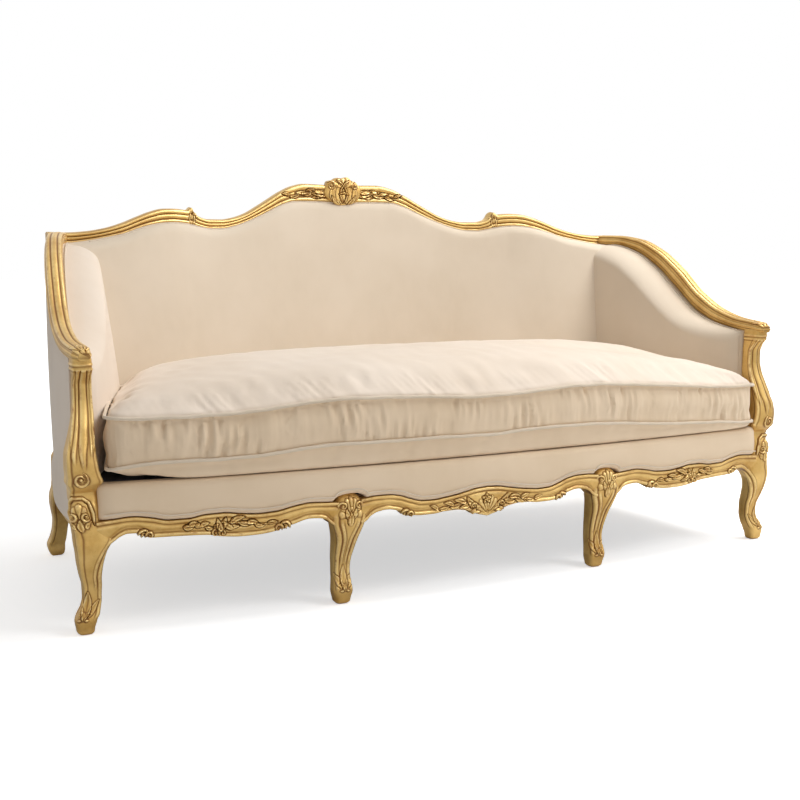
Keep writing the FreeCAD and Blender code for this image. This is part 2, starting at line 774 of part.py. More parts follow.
rear_ends = "rear_block_side - block_width/2 - glue_line"
rear_view = prism("XZ", both_sides([(rear_ends, "rear_rail_low"), (rear_ends, "frame_top")]))
rear_board = back_band("0", "rear_rail_deep", "rear_rail_low", "frame_top - rear_rail_low", "0")
rear_rail = keep("rear_rail", cut(common(rear_view, rear_board), dowel_holes))

right_crest = keep("right_crest_rail", crest_side())
keep("left_crest_rail", mirrored(right_crest))
crest = keep("centre_crest_rail", crest_middle())

shell_foot = "crest_shell_top - crest_shell_high"
shell_view = prism("XZ", [
    ("-0.3*crest_shell_wide", shell_foot), ("0.3*crest_shell_wide", shell_foot),
    ("0.5*crest_shell_wide", f"{shell_foot} + 0.45*crest_shell_high"),
    ("0.25*crest_shell_wide", "crest_shell_top - 8"), ("-0.25*crest_shell_wide", "crest_shell_top - 8"),
    ("-0.5*crest_shell_wide", f"{shell_foot} + 0.45*crest_shell_high")],
    ["4", "-8", "-10", "-8", "-10", "-8"])
keep("crest_shell", common(shell_view, back_band("-crest_shell_deep", "-glue_line")))

right_arm = keep("right_arm_rail", cut(arm_rail(), dowel_holes))
keep("left_arm_rail", mirrored(right_arm))

stuffing_front = "cover_thick + hessian_thick + 4*soft_gap + 3"
tack_ends = "rear_block_side - upright_width/2 - 2"
tack_view = prism("XZ", both_sides([(tack_ends, "tack_low"), (tack_ends, "tack_high")]))
tack_board = back_band(stuffing_front, f"{stuffing_front} + tack_thick")
back_tack = keep("back_stuffing_rail", common(tack_view, tack_board))
stay_boxes = []
for side in (1, -1):
    near, far = sorted([f"{side}*inner_leg - stay_width/2", f"{side}*inner_leg + stay_width/2"],
                       key=number)
    stay_boxes.append(box((near, "0", "frame_top + glue_line"), (far, "leg_half", "upper_turn")))
stay_board = back_band(stuffing_front, f"{stuffing_front} + tack_thick")
stay_view = under_crest("pad_half", "frame_top", "1")
keep("back_stays", cut(common(group(stay_boxes), stay_board, stay_view), back_tack))

arm_tack = common(arm_band("10", "10 + tack_thick"),
                  slab("post_back + glue_line", "rear_block - upright_width/2 - glue_line",
                       "tack_low", "tack_high"))
right_tack = keep("right_arm_stuffing_rail", arm_tack)
keep("left_arm_stuffing_rail", mirrored(right_tack))

brace_end = "back_centre - back_arch*((inner_leg + 10)/back_turn)^2 - 1"
braces = []
for side in (1, -1):
    near, far = sorted([f"{side}*(inner_leg - 4) - brace_thick/2",
                        f"{side}*(inner_leg - 4) + brace_thick/2"], key=number)
    braces.append(box((near, "inner_foot + 1 + glue_line", "brace_low"),
                      (far, brace_end, "frame_top - 2")))
keep("seat_braces", group(braces))

reach = "corner_block_side"
front_corner = [("leg_half - block_in - 8", "front_foot + block_in - 10"),
                ("leg_half - block_in - 8", f"front_foot + block_in + {reach}"),
                (f"leg_half - block_in - {reach} - 14", "front_foot + block_in - 10")]
rear_corner = [("rear_block_side - 8", "rear_block + 10"),
               (f"rear_block_side - {reach} - 14", "rear_block + 10"),
               ("rear_block_side - 8", f"rear_block - {reach}")]
frame_right = [right_leg, right_rail, right_side, rear_rail, right_rear, dowel_holes]


def corner_screws(extra):
    """The screw through each corner block, or its hole where extra widens it."""
    screws = []
    for across, along, turn in (
            ("leg_half - block_in - block_width/2 - 22", "front_foot + block_in + block_width/2 + 22", 1),
            ("rear_block_side - block_width/2 - 22", "rear_block - block_width/2 - 22", -1)):
        shank = rod(f"screw_radius + {extra}", "screw_length", ("0", "0", "0"), "x")
        head = rod(f"screw_head + {extra}", f"screw_radius + {extra}",
                   ("-(screw_length + screw_radius)/2", "0", "0"), "x")
        screw = fuse(shank, head)
        screw.Placement = Placement(Vector(0, 0, 0), Rotation(Vector(0, 0, 1), -45 * turn))
        bind(screw, "Placement.Base.x", across)
        bind(screw, "Placement.Base.y", along)
        bind(screw, "Placement.Base.z", "(brace_low + frame_top - 6)/2")
        screws += [screw, mirrored(screw)]
    return group(screws)


screw_holes = corner_screws("dowel_gap")
blocks = []
for corner in (front_corner, rear_corner):
    owner = body("corner_block_blank")
    pad(owner, corner, "brace_low", "frame_top - 6")
    trimmed = owner
    for tool in frame_right:
        trimmed = cut(trimmed, tool)
    trimmed = cut(trimmed, screw_holes)
    blocks += [trimmed, mirrored(trimmed)]
keep("corner_blocks", group(blocks))
keep("corner_block_screws", corner_screws("0"))
keep("joint_dowels", dowels("0", "0"))


# Seat foundation

def deck_outline(inset):
    """Plan of what lies on the seat frame, inset from its edge."""
    front = f"front_end + rail_rebate + ({inset})"
    rear = f"rear_block - 31 - ({inset})"
    corners = [(f"-(deck_front_half - ({inset}))", front), (f"deck_front_half - ({inset})", front),
               (f"deck_rear_half - ({inset})", rear), (f"-(deck_rear_half - ({inset}))", rear)]
    return corners, ["-front_bow", None, "-back_bow + 8", None]


def deck_layer(label, inset, low, high):
    owner = body(label)
    corners, rises = deck_outline(inset)
    pad(owner, corners, low, high, rises)
    return owner


strap_one = "frame_top + glue_line"
strap_two = "frame_top + 2*glue_line + strap_thick"
cloth_low = "frame_top + 3*glue_line + 2*strap_thick"
pad_low = f"{cloth_low} + hessian_thick + soft_gap"
deck_low = f"{pad_low} + deck_pad_thick + soft_gap"

CROSS_STRAPS = 14
LONG_STRAPS = 6
cross = []
for index in range(CROSS_STRAPS):
    middle = f"deck_rear_half*{2 * index + 1 - CROSS_STRAPS}/{CROSS_STRAPS}"
    cross.append(box((f"{middle} - strap_width/2", "-leg_half", strap_one),
                     (f"{middle} + strap_width/2", "leg_half", f"{strap_one} + strap_thick")))
along_straps = []
for index in range(LONG_STRAPS):
    middle = f"front_end + 40 + (rear_block - front_end)*{index}/{LONG_STRAPS}"
    along_straps.append(box(("-leg_half", middle, strap_two),
                            ("leg_half", f"{middle} + strap_width", f"{strap_two} + strap_thick")))
cross_field = deck_layer("cross_field", "6", "frame_top", strap_two)
long_field = deck_layer("long_field", "6", strap_one, cloth_low)
keep("seat_webbing_cross", common(group(cross), cross_field))
keep("seat_webbing_long", common(group(along_straps), long_field))
keep("seat_hessian", deck_layer("hessian_blank", "4", cloth_low, f"{cloth_low} + hessian_thick"))


keep("seat_deck_pad", deck_layer("deck_pad_blank", "3", pad_low, f"{pad_low} + deck_pad_thick"))
keep("seat_deck_cover", deck_layer("deck_blank", "3", deck_low, f"{deck_low} + cover_thick"))


def frame_wave(lift):
    """Lower edge of the padded border: over the rails and the inner legs' shells."""
    outer, rises = outer_wave(f"{lift} + soft_gap")
    outer[0] = (f"{INNER_BLOCK_FAR} + 1 + 0.5*({lift})", f"rail_line + 1 + ({lift})")
    centre = [("centre_hump", f"rail_line + ({lift}) + soft_gap"),
              ("centre_hump + centre_dip", f"rail_line + ({lift}) + soft_gap"),
              (f"{INNER_BLOCK_NEAR} - 1 - 0.5*({lift})", f"rail_line + 5 + ({lift})")]
    return centre + outer, ["-wave_centre", "wave_centre + 1", "shell_rise"] + rises


def border_view(lift, top):
    """Front view of the border: its wavy lower edge and its level top."""
    corners, rises = frame_wave(lift)
    mirrored_corners = [(f"-({x})", z) for x, z in reversed(corners)]
    lower = mirrored_corners + corners
    lower_rises = list(reversed(rises)) + ["wave_centre"] + rises
    ends = [(corners[-1][0], top), (f"-({corners[-1][0]})", top)]
    return prism("XZ", lower + ends, lower_rises + [None, None, None])


border_back = "rail_rebate - soft_gap"
post_room = []
for side in (1, -1):
    near, far = sorted([f"{side}*(post_middle - 32)", f"{side}*leg_half"], key=number)
    post_room.append(box((near, "-leg_half", "frame_top"), (far, "post_back", "2*frame_top")))
post_room = group(post_room)
keep("front_border_pad", cut(common(border_view("0", "border_top"),
                                    front_band("-border_proud", border_back)), post_room))
keep("front_border_cover", cut(common(
    border_view("0", "border_top"),
    front_band("-border_proud - soft_gap - cover_thick", "-border_proud - soft_gap")), post_room))
gimp_high, gimp_rises = frame_wave("gimp_width")
gimp_low, _ = frame_wave("1")
gimp_face = "-border_proud - 2*soft_gap - cover_thick"
gimp_band = front_band(f"{gimp_face} - gimp_thick", gimp_face)
strip_corners = ([(f"-({x})", z) for x, z in reversed(gimp_high)] + gimp_high
                 + gimp_low[::-1] + [(f"-({x})", z) for x, z in gimp_low])
high_rises = list(reversed(gimp_rises)) + ["wave_centre"] + gimp_rises
low_rises = [None if rise is None else f"-({rise})" for rise in reversed(high_rises)]
strip_view = prism("XZ", strip_corners, high_rises + [None] + low_rises + [None])
keep("front_border_gimp", common(strip_view, gimp_band))

keep("dust_cover", deck_layer("dust_blank", "36", "brace_low - glue_line - cover_thick",
                              "brace_low - glue_line"))

# Upholstery of the back and the arms

sealed_back = back_band("-leg_half", "3")
keep("back_pad", common(under_crest("pad_half", "border_top + 4", "2"),
                        behind_face("cover_thick + soft_gap"), sealed_back))
keep("inside_back_cover", common(under_crest("pad_half", "border_top + 4", "2"),
                                 behind_face("0"), before_face("cover_thick")))
hessian_view = under_crest("pad_half", "tack_low + 3", "4")
keep("back_hessian", common(hessian_view,
                            back_band("3 + 2*soft_gap", "3 + 2*soft_gap + hessian_thick")))
outside_view = under_crest("pad_half + 6", "frame_top + 2*soft_gap", "2*soft_gap")
keep("outside_back_cover", common(outside_view, back_band(
    "crest_deep - 2*cover_thick", "crest_deep - cover_thick")))


def arm_face(label, shift, outer=None):
    """Between the arm's padded inner face, moved out by shift, and a parallel one or the outside."""
    owner = body(label)
    outlines = []
    for height, rear in (("frame_top", "arm_pad_rear"), ("3*frame_top", "arm_pad_rear_top")):
        front = f"arm_pad_front + ({shift})"
        back = f"{rear} + ({shift})"
        far_front = "leg_half" if outer is None else f"arm_pad_front + ({outer})"
        far_back = "leg_half" if outer is None else f"{rear} + ({outer})"
        corners = [(front, "arm_pad_nose"), (far_front, "arm_pad_nose"),
                   (far_back, "arm_pad_tail"), (back, "arm_pad_tail")]
        rises = [None, None if outer is None else "arm_pad_bow", None, "-arm_pad_bow"]
        outlines.append(sketch_in(owner, "XY", corners, rises, height))
    form = owner.newObject("PartDesign::AdditiveLoft", "form")
    form.Profile = outlines[0]
    form.Sections = outlines[1:]
    form.Ruled = True
    return owner


arm_low = "border_top + 6"
arm_view = under_arm("arm_pad_nose", "arm_pad_tail", arm_low, "2")
arm_side = common(arm_view, before_face("-2*soft_gap"))
stuffing_space = arm_band("10 + tack_thick + soft_gap", "6*arm_thick")
padded = common(arm_face("arm_pad_blank", "cover_thick + soft_gap"), stuffing_space)
right_pad = keep("right_arm_pad", common(padded, arm_side))
keep("left_arm_pad", mirrored(right_pad))
arm_skin = arm_face("arm_cover_blank", "0", "cover_thick")
right_skin = keep("right_inside_arm_cover", common(arm_skin, arm_side))
keep("left_inside_arm_cover", mirrored(right_skin))
outside_plan = arm_band("5", "5 + cover_thick")
outside_arm = common(outside_plan, under_arm("post_back + 1", "rear_block - 25",
                                             "frame_top + 3", "2*soft_gap"))
right_outside = keep("right_outside_arm_cover", outside_arm)
keep("left_outside_arm_cover", mirrored(right_outside))


# Seat cushion: a crowned box cushion with welts at its upper and lower seams

def cushion_outline(height, inset):
    """Plan of the cushion at a height; its rear edge leans with the back."""
    rear = f"cushion_rear + pad_lean*(({height}) - cushion_base) - ({inset})"
    front = f"cushion_front + ({inset})"
    side, rear_side = f"cushion_half - ({inset})", f"cushion_rear_half - ({inset})"
    half = [(f"{side} - cushion_corner", front), (side, f"{front} + cushion_corner"),
            (rear_side, f"{rear} - cushion_corner"), (f"{rear_side} - cushion_corner", rear)]
    corners = half + [(f"-({across})", along) for across, along in reversed(half)]
    fold = "-0.29289*cushion_corner"
    return corners, [fold, "cushion_draw", fold, "-cushion_rear_bow",
                     fold, "cushion_draw", fold, "-cushion_front_bow"]


def rings(label, levels):
    """A closed form through level outlines of the cushion: (height, inset)."""
    owner = body(label)
    outlines = []
    for height, inset in levels:
        corners, rises = cushion_outline(height, inset)
        outlines.append(sketch_in(owner, "XY", corners, rises, height))
    form = owner.newObject("PartDesign::AdditiveLoft", "form")
    form.Profile = outlines[0]
    form.Sections = outlines[1:]
    form.Ruled = True
    return owner


def cushion_form(label, skin):
    """The cushion's closed form; skin is how far it lies inside the cover's outer face."""
    levels = [
        (f"cushion_base + {skin}", f"base_in + {skin}"),
        ("cushion_base + 0.3*(welt_low - cushion_base)", f"0.5*base_in + {skin}"),
        ("welt_low", f"boxing_bulge + {skin}"),
        ("(welt_low + welt_high)/2", f"0.3*boxing_bulge + {skin}"),
        ("welt_high", f"boxing_bulge + {skin}"),
    ]
    for share in (0.06, 0.2, 0.45, 1):
        swell = round((1 - (1 - share) ** 2) ** 0.5, 3)
        levels.append((f"welt_high + {swell}*(cushion_crown - welt_high) - ({skin})",
                       f"boxing_bulge + {share}*crown_in + {skin}"))
    return rings(label, levels)


outer_form = cushion_form("cushion_outer", "0")
inner_form = cushion_form("cushion_inner", "cushion_skin")
keep("cushion_cover", cut(outer_form, inner_form))
keep("cushion_core", cushion_form("cushion_core", "cushion_skin + core_gap"))


def welt(height):
    """A half-round cord sewn round the cushion, just outside its seam."""
    levels = []
    for angle in (-90, -45, 0, 45, 90):
        levels.append((f"{height} + welt_radius*sin({angle}deg)",
                       f"boxing_bulge - 5*soft_gap - welt_radius*cos({angle}deg)"))
    bead = rings("cord_blank", levels)
    hole = rings("cord_hole", [(f"{height} - 2*welt_radius", "boxing_bulge - 4*soft_gap"),
                               (f"{height} + 2*welt_radius", "boxing_bulge - 4*soft_gap")])
    return cut(bead, hole)


keep("cushion_upper_welt", welt("welt_high"))
keep("cushion_lower_welt", welt("welt_low"))

doc.recompute()

# Nothing is written unless every object and every piece is sound
faults = []
for thing in doc.Objects:
    if {"Invalid", "Error"} & set(thing.State):
        faults.append(f"{thing.Name} ({thing.Label}): {thing.State}")
for label, thing in nodes.items():
    if thing.Shape.isNull() or not thing.Shape.isValid() or not thing.Shape.Solids:
        faults.append(f"{label}: no valid solid")
if faults:
    raise SystemExit("\n".join(faults))

os.makedirs("parts", exist_ok=True)
for label, thing in nodes.items():
    thing.Shape.exportStep(f"parts/{label}.step")
print(len(nodes), "pieces")
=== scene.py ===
"""Looks of a gilded cabriole sofa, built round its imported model.

The carved frame is made of swept surfaces with carved relief, the upholstery of padded closed
forms, and the loose seat cushion is inflated as cloth. All sizes are in metres, in the frame of
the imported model: +X to the right seen from the front, +Y to the back, +Z up.
"""
import logging
import math
from dataclasses import dataclass, field
from enum import Enum

import bpy
import numpy as np
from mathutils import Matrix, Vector


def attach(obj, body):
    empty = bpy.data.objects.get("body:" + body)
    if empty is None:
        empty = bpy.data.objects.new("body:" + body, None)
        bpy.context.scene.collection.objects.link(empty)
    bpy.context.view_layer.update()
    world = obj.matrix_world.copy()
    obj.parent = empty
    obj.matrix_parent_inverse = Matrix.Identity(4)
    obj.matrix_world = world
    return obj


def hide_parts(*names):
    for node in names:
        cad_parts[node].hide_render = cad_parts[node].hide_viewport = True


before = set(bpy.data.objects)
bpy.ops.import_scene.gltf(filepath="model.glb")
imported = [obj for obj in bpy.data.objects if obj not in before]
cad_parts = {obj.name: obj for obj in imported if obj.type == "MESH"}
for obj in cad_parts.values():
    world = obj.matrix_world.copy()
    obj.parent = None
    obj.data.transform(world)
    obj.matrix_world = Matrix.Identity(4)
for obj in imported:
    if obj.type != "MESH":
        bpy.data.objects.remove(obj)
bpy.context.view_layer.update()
LOG = logging.getLogger("sofa")
Array = np.ndarray
Pair = tuple[float, float]
Triple = tuple[float, float, float]
Piece = bpy.types.Object
Material = bpy.types.Material
Socket = bpy.types.NodeSocket

MM = 0.001
FRAME_TOP = 0.300
WELD = 2e-6


# ---- Shared shop tools ----


def smooth(low: float, high: float, value: Array) -> Array:
    """Smooth step from 0 below low to 1 above high."""
    share = np.clip((np.asarray(value, float) - low) / (high - low), 0.0, 1.0)
    return share * share * (3.0 - 2.0 * share)


def half_round(share: Array) -> Array:
    """Profile of a half-round bead: 1 on its middle line, 0 from a share of 1 outwards."""
    return np.sqrt(np.clip(1 - share ** 2, 0, 1))


def bell(away: Array, width: float) -> Array:
    """Soft bump: 1 where nothing is away, fading beyond width."""
    return np.exp(-(away / width) ** 2)


def laid(x: Array, y: Array, z: Array) -> Array:
    """A net of points from coordinates that are stretched to one shape."""
    return np.stack(np.broadcast_arrays(x, y, z), axis=2)


def with_axis(net: Array, axis: int, values: Array) -> Array:
    """A copy of a net with one coordinate replaced."""
    copy = net.copy()
    copy[..., axis] = values
    return copy


def leading(net: Array, count: int) -> Array:
    """Marks the first columns of a net, which are its carved face."""
    marks = np.zeros(net.shape[:2], bool)
    marks[:, :count] = True
    return marks


def full_turn(count: int) -> Array:
    """Evenly spaced angles round a full turn, as a row."""
    return np.linspace(0, 2 * math.pi, count, endpoint=False)[None, :]


def either_way(degrees: Array) -> Array:
    """Bearings of 0 to 360 degrees as -180 to 180."""
    return np.where(degrees > 180, degrees - 360, degrees)


def apart(bearing: Array, at: float) -> Array:
    """How many degrees each bearing lies from one of them, round either way."""
    return np.abs(((bearing - at + 180) % 360) - 180)


def hand(side: int) -> str:
    """Name of a side: 1 is the right one, -1 the left."""
    return "right" if side > 0 else "left"


def through(keys: list[Pair], where: Array) -> Array:
    """Smooth curve through keys, without overshoot.

    Args:
        keys: pairs of place and value, in rising order of place.
        where: places to read the curve at.

    Returns:
        The curve's values, from monotone cubic pieces.
    """
    places, values = np.array(keys, float).T
    steps = np.diff(places)
    slopes = np.diff(values) / steps
    tangents = np.zeros_like(values)
    tangents[0], tangents[-1] = slopes[0], slopes[-1]
    for index in range(1, len(places) - 1):
        before, after = slopes[index - 1], slopes[index]
        if before * after > 0:
            one = 2 * steps[index] + steps[index - 1]
            two = steps[index] + 2 * steps[index - 1]
            tangents[index] = (one + two) / (one / before + two / after)
    where = np.clip(np.asarray(where, float), places[0], places[-1])
    slot = np.clip(np.searchsorted(places, where, side="right") - 1, 0, len(steps) - 1)
    step = steps[slot]
    share = (where - places[slot]) / step
    square, cube = share ** 2, share ** 3
    return ((2 * cube - 3 * square + 1) * values[slot] + (cube - 2 * square + share) * step * tangents[slot]
            + (3 * square - 2 * cube) * values[slot + 1] + (cube - square) * step * tangents[slot + 1])


def ripple(seed: int, across: Array, along: Array, pitch: float, count: int = 9, stretch: float = 4.0) -> Array:
    """Irregular gathers: waves across one way that wander slowly along the other.

    Args:
        seed: which pattern.
        across: coordinate that the waves cross.
        along: coordinate that the gathers run along.
        pitch: mean distance between gathers.
        count: how many waves are mixed.
        stretch: how much longer than wide a gather is.

    Returns:
        Heights of about -1 to 1.
    """
    source = np.random.default_rng(seed)
    total = np.zeros(np.broadcast(across, along).shape)
    for _ in range(count):
        rate = 2 * math.pi / (pitch * source.uniform(0.55, 1.9))
        drift = 2 * math.pi / (pitch * stretch * source.uniform(0.7, 1.6)) * source.choice([-1, 1])
        total += source.uniform(0.4, 1.0) * np.sin(
            across * rate + along * drift + source.uniform(0, 6.28)
            + 1.6 * np.sin(along * drift * 0.6 + source.uniform(0, 6.28)))
    return total / math.sqrt(count)


def select_only(piece: Piece) -> None:
    """Leaves one object selected and active, in object mode."""
    if bpy.context.object and bpy.context.object.mode != "OBJECT":
        bpy.ops.object.mode_set(mode="OBJECT")
    bpy.ops.object.select_all(action="DESELECT")
    piece.select_set(True)
    bpy.context.view_layer.objects.active = piece


def apply_modifier(piece: Piece, kind: str, **settings: object) -> None:
    """Adds one modifier with settings and applies it."""
    select_only(piece)
    modifier = piece.modifiers.new(kind.title(), kind)
    for key, value in settings.items():
        setattr(modifier, key, value)
    bpy.ops.object.modifier_apply(modifier=modifier.name)


def facing_out(piece: Piece) -> None:
    """Makes every face of a closed piece point outwards."""
    select_only(piece)
    bpy.ops.object.mode_set(mode="EDIT")
    bpy.ops.mesh.select_all(action="SELECT")
    bpy.ops.mesh.normals_make_consistent(inside=False)
    bpy.ops.object.mode_set(mode="OBJECT")


def read(items: bpy.types.bpy_prop_collection, key: str) -> Array:
    """Three numbers of every point or face of a mesh, one row each."""
    flat = np.empty(len(items) * 3)
    items.foreach_get(key, flat)
    return flat.reshape(-1, 3)


def skin(name: str, points: Array, caps: bool = True, carve: Array | None = None, angle: float = 50.0) -> Piece:
    """A surface over a closed net of points, made from a grid primitive.

    Args:
        name: the piece's name.
        points: (rows, columns, 3) places in metres, columns running round.
        caps: whether the first and last rows are closed.
        carve: (rows, columns) how high each point stands above its surroundings, 0 to 1.
        angle: edges flatter than this are shaded smooth, in degrees.

    Returns:
        The finished closed piece.
    """
    points = np.concatenate([points, points[:, :1]], axis=1)
    rows, columns = points.shape[:2]
    bpy.ops.object.select_all(action="DESELECT")
    bpy.ops.mesh.primitive_grid_add(x_subdivisions=columns - 1, y_subdivisions=rows - 1, size=2.0)
    piece = bpy.context.object
    piece.name = piece.data.name = name
    mesh = piece.data
    flat = read(mesh.vertices, "co")
    column = np.rint((flat[:, 0] + 1) / 2 * (columns - 1)).astype(int)
    row = np.rint((flat[:, 1] + 1) / 2 * (rows - 1)).astype(int)
    mesh.vertices.foreach_set("co", points[row, column].astype(np.float32).ravel())
    if carve is not None:
        carve = np.concatenate([carve, carve[:, :1]], axis=1)
        layer = mesh.attributes.new("carve", "FLOAT", "POINT")
        layer.data.foreach_set("value", carve[row, column].astype(np.float32))
    uv = mesh.uv_layers.active.data
    length = np.linalg.norm(np.diff(points, axis=0), axis=2).mean(axis=1).sum()
    width = np.linalg.norm(np.diff(points, axis=1), axis=2).mean(axis=0).sum()
    coords = np.empty(len(uv) * 2, dtype=np.float32)
    uv.foreach_get("uv", coords)
    uv.foreach_set("uv", (coords.reshape(-1, 2) * (width, length)).astype(np.float32).ravel())
    mesh.update()
    bpy.ops.object.mode_set(mode="EDIT")
    bpy.ops.mesh.select_all(action="SELECT")
    bpy.ops.mesh.remove_doubles(threshold=WELD)
    if caps:
        bpy.ops.mesh.fill_holes(sides=0)
    facing_out(piece)
    bpy.ops.object.shade_smooth_by_angle(angle=math.radians(angle))
    return piece


def raise_net(net: Array, height: Array) -> Array:
    """Moves a closed net's points out along the net's own normals.

    Args:
        net: (rows, columns, 3) points, columns running round.
        height: (rows, columns) distances in metres.

    Returns:
        The moved points.
    """
    along = np.gradient(net, axis=0)
    wrapped = np.concatenate([net[:, -1:], net, net[:, :1]], axis=1)
    around = (wrapped[:, 2:] - wrapped[:, :-2]) / 2
    normal = np.cross(around, along)
    normal /= np.maximum(np.linalg.norm(normal, axis=2, keepdims=True), 1e-12)
    middle = net.mean(axis=1, keepdims=True)
    if np.median(((net - middle) * normal).sum(axis=2)) < 0:
        normal = -normal
    return net + normal * height[..., None]


def blur(values: Array, reach: int) -> Array:
    """Mean of a net's values over a window, for finding what stands proud."""
    for axis in (0, 1):
        pads = [(reach, reach) if side == axis else (0, 0) for side in (0, 1)]
        sums = np.cumsum(np.pad(values, pads, mode="edge"), axis=axis)
        lead = np.take(sums, range(2 * reach, sums.shape[axis]), axis=axis)
        lag = np.take(sums, range(0, sums.shape[axis] - 2 * reach), axis=axis)
        values = (lead - lag) / (2 * reach)
    return values


@dataclass
class Carving:
    """Relief cut into a surface that is laid out flat, in millimetres.

    Attributes:
        across: first flat coordinate of each point.
        up: second flat coordinate of each point.
        height: relief so far.
        line: 1 at points that a cut outline darkens with glaze and painted shade.
    """

    across: Array
    up: Array
    height: Array = field(init=False)
    line: Array = field(init=False)

    def __post_init__(self) -> None:
        """Starts with a plain face."""
        self.height = np.zeros(self.across.shape)
        self.line = np.zeros(self.across.shape)

    def darken(self, share: Array) -> None:
        """Deepens the outlines' glaze and painted shade, where share is more than they have so far."""
        self.line = np.maximum(self.line, share)

    def to_path(self, path: Array) -> tuple[Array, Array, Array]:
        """Distance to a path.

        Args:
            path: (count, 2) points.

        Returns:
            Distance, share of the way along, and side: positive on the left.
        """
        lengths = np.linalg.norm(np.diff(path, axis=0), axis=1)
        ends = np.concatenate([[0], np.cumsum(lengths)]) / max(lengths.sum(), 1e-9)
        best = np.full(self.across.shape, 1e9)
        share = np.zeros(self.across.shape)
        side = np.zeros(self.across.shape)
        for index in range(len(path) - 1):
            start, step = path[index], path[index + 1] - path[index]
            away_x, away_y = self.across - start[0], self.up - start[1]
            part = np.clip((away_x * step[0] + away_y * step[1]) / max(step @ step, 1e-9), 0, 1)
            gap = np.hypot(away_x - part * step[0], away_y - part * step[1])
            nearer = gap < best
            best = np.where(nearer, gap, best)
            share = np.where(nearer, ends[index] + part * (ends[index + 1] - ends[index]), share)
            side = np.where(nearer, np.sign(step[0] * away_y - step[1] * away_x), side)
        return best, share, side

    def rod(self, path: Array, width: float, rise: float, taper: float = 0.25, tip: float = 0.25,
            cut: float = 0.5) -> None:
        """A half-round ridge along a path, tapered at both ends.

        Args:
            path: (count, 2) points.
            width: greatest half width.
            rise: greatest height.
            taper: share of the path over which the start grows.
            tip: share over which the end shrinks.
            cut: depth of the outline beside it, as a share of rise.
        """
        gap, share, _ = self.to_path(path)
        swell = (np.sqrt(np.clip(share / max(taper, 1e-6), 0.06, 1))
                 * np.sqrt(np.clip((1 - share) / max(tip, 1e-6), 0.06, 1)))
        reach = np.maximum(width * swell, 0.4)
        bump = rise * half_round(gap / reach) * (0.4 + 0.6 * swell)
        rim = bell(gap - reach - 0.8, 1.3)
        self.height = np.where(gap < reach, np.maximum(self.height, self.height * 0.45 + bump), self.height)
        self.height -= cut * rise * rim * (gap >= reach * 0.97)
        self.darken(rim * (0.5 + 0.5 * swell))

    def leaf(self, root: Pair, length: float, angle: float, width: float, rise: float,
             bend: float = 0.0) -> None:
        """A pointed leaf with a vein.

        Args:
            root: where it starts.
            length: from root to point.
            angle: its heading in degrees.
            width: greatest half width.
            rise: height at the middle of each half.
            bend: how far it turns over its length, in degrees.
        """
        steps = np.linspace(0, 1, 9)
        heading = np.radians(angle + bend * (steps[:-1] + 0.06))
        pace = length / 8
        moves = np.stack([np.cos(heading), np.sin(heading)], 1) * pace
        path = np.cumsum(np.concatenate([[root], moves]), axis=0)
        gap, share, _ = self.to_path(path)
        reach = np.maximum(width * np.sin(np.pi * np.clip(share, 0, 1) ** 0.72) ** 0.8, 0.35)
        inside = gap < reach
        roll = gap / reach
        form = rise * (0.55 + 0.6 * roll ** 1.2) * np.sqrt(np.clip(1 - roll ** 6, 0, 1)) * (1 - 0.35 * share)
        rim = bell(gap - reach - 0.8, 1.3) * (share > 0.01)
        self.height = np.where(inside, np.maximum(self.height * 0.5 + form, form), self.height)
        self.height -= 0.6 * rise * rim * ~inside
        vein = bell(gap, 0.55) * inside * (share < 0.93)
        self.darken(np.maximum(rim * ~inside, 0.6 * vein))

    def leaves(self, side: int, *rows: tuple[float, ...]) -> None:
        """Leaves from a table, mirrored to one side.

        Args:
            side: 1 keeps the table's side, -1 mirrors it.
            rows: x, height, length, lean from upright, half width, rise and bend of each leaf.
        """
        for x, up, length, lean, width, rise, bend in rows:
            self.leaf((side * x, up), length, 90 + side * lean, width, rise, side * bend)

    def scroll(self, centre: Pair, radius: float, start: float, turn: float, width: float, rise: float) -> None:
        """A C-scroll that winds in to an eye.

        Args:
            centre: of its eye.
            radius: at its open end.
            start: heading of the open end from the centre, in degrees.
            turn: how far it winds, in degrees; negative winds clockwise.
            width: half width of its band.
            rise: height of its band.
        """
        share = np.linspace(0, 1, 26)
        reach = radius * (1 - share) ** 0.9 + 0.16 * radius
        around = np.radians(start + turn * share)
        path = np.stack([centre[0] + reach * np.cos(around), centre[1] + reach * np.sin(around)], 1)
        self.rod(path, width, rise, taper=0.12, tip=0.5)
        self.dot(centre, 0.24 * radius, rise * 1.15)

    def dot(self, centre: Pair, radius: float, rise: float) -> None:
        """A round bead."""
        gap = np.hypot(self.across - centre[0], self.up - centre[1])
        bump = rise * half_round(gap / radius)
        self.height = np.maximum(self.height, bump)
        self.darken(bell(gap - radius, 0.6))

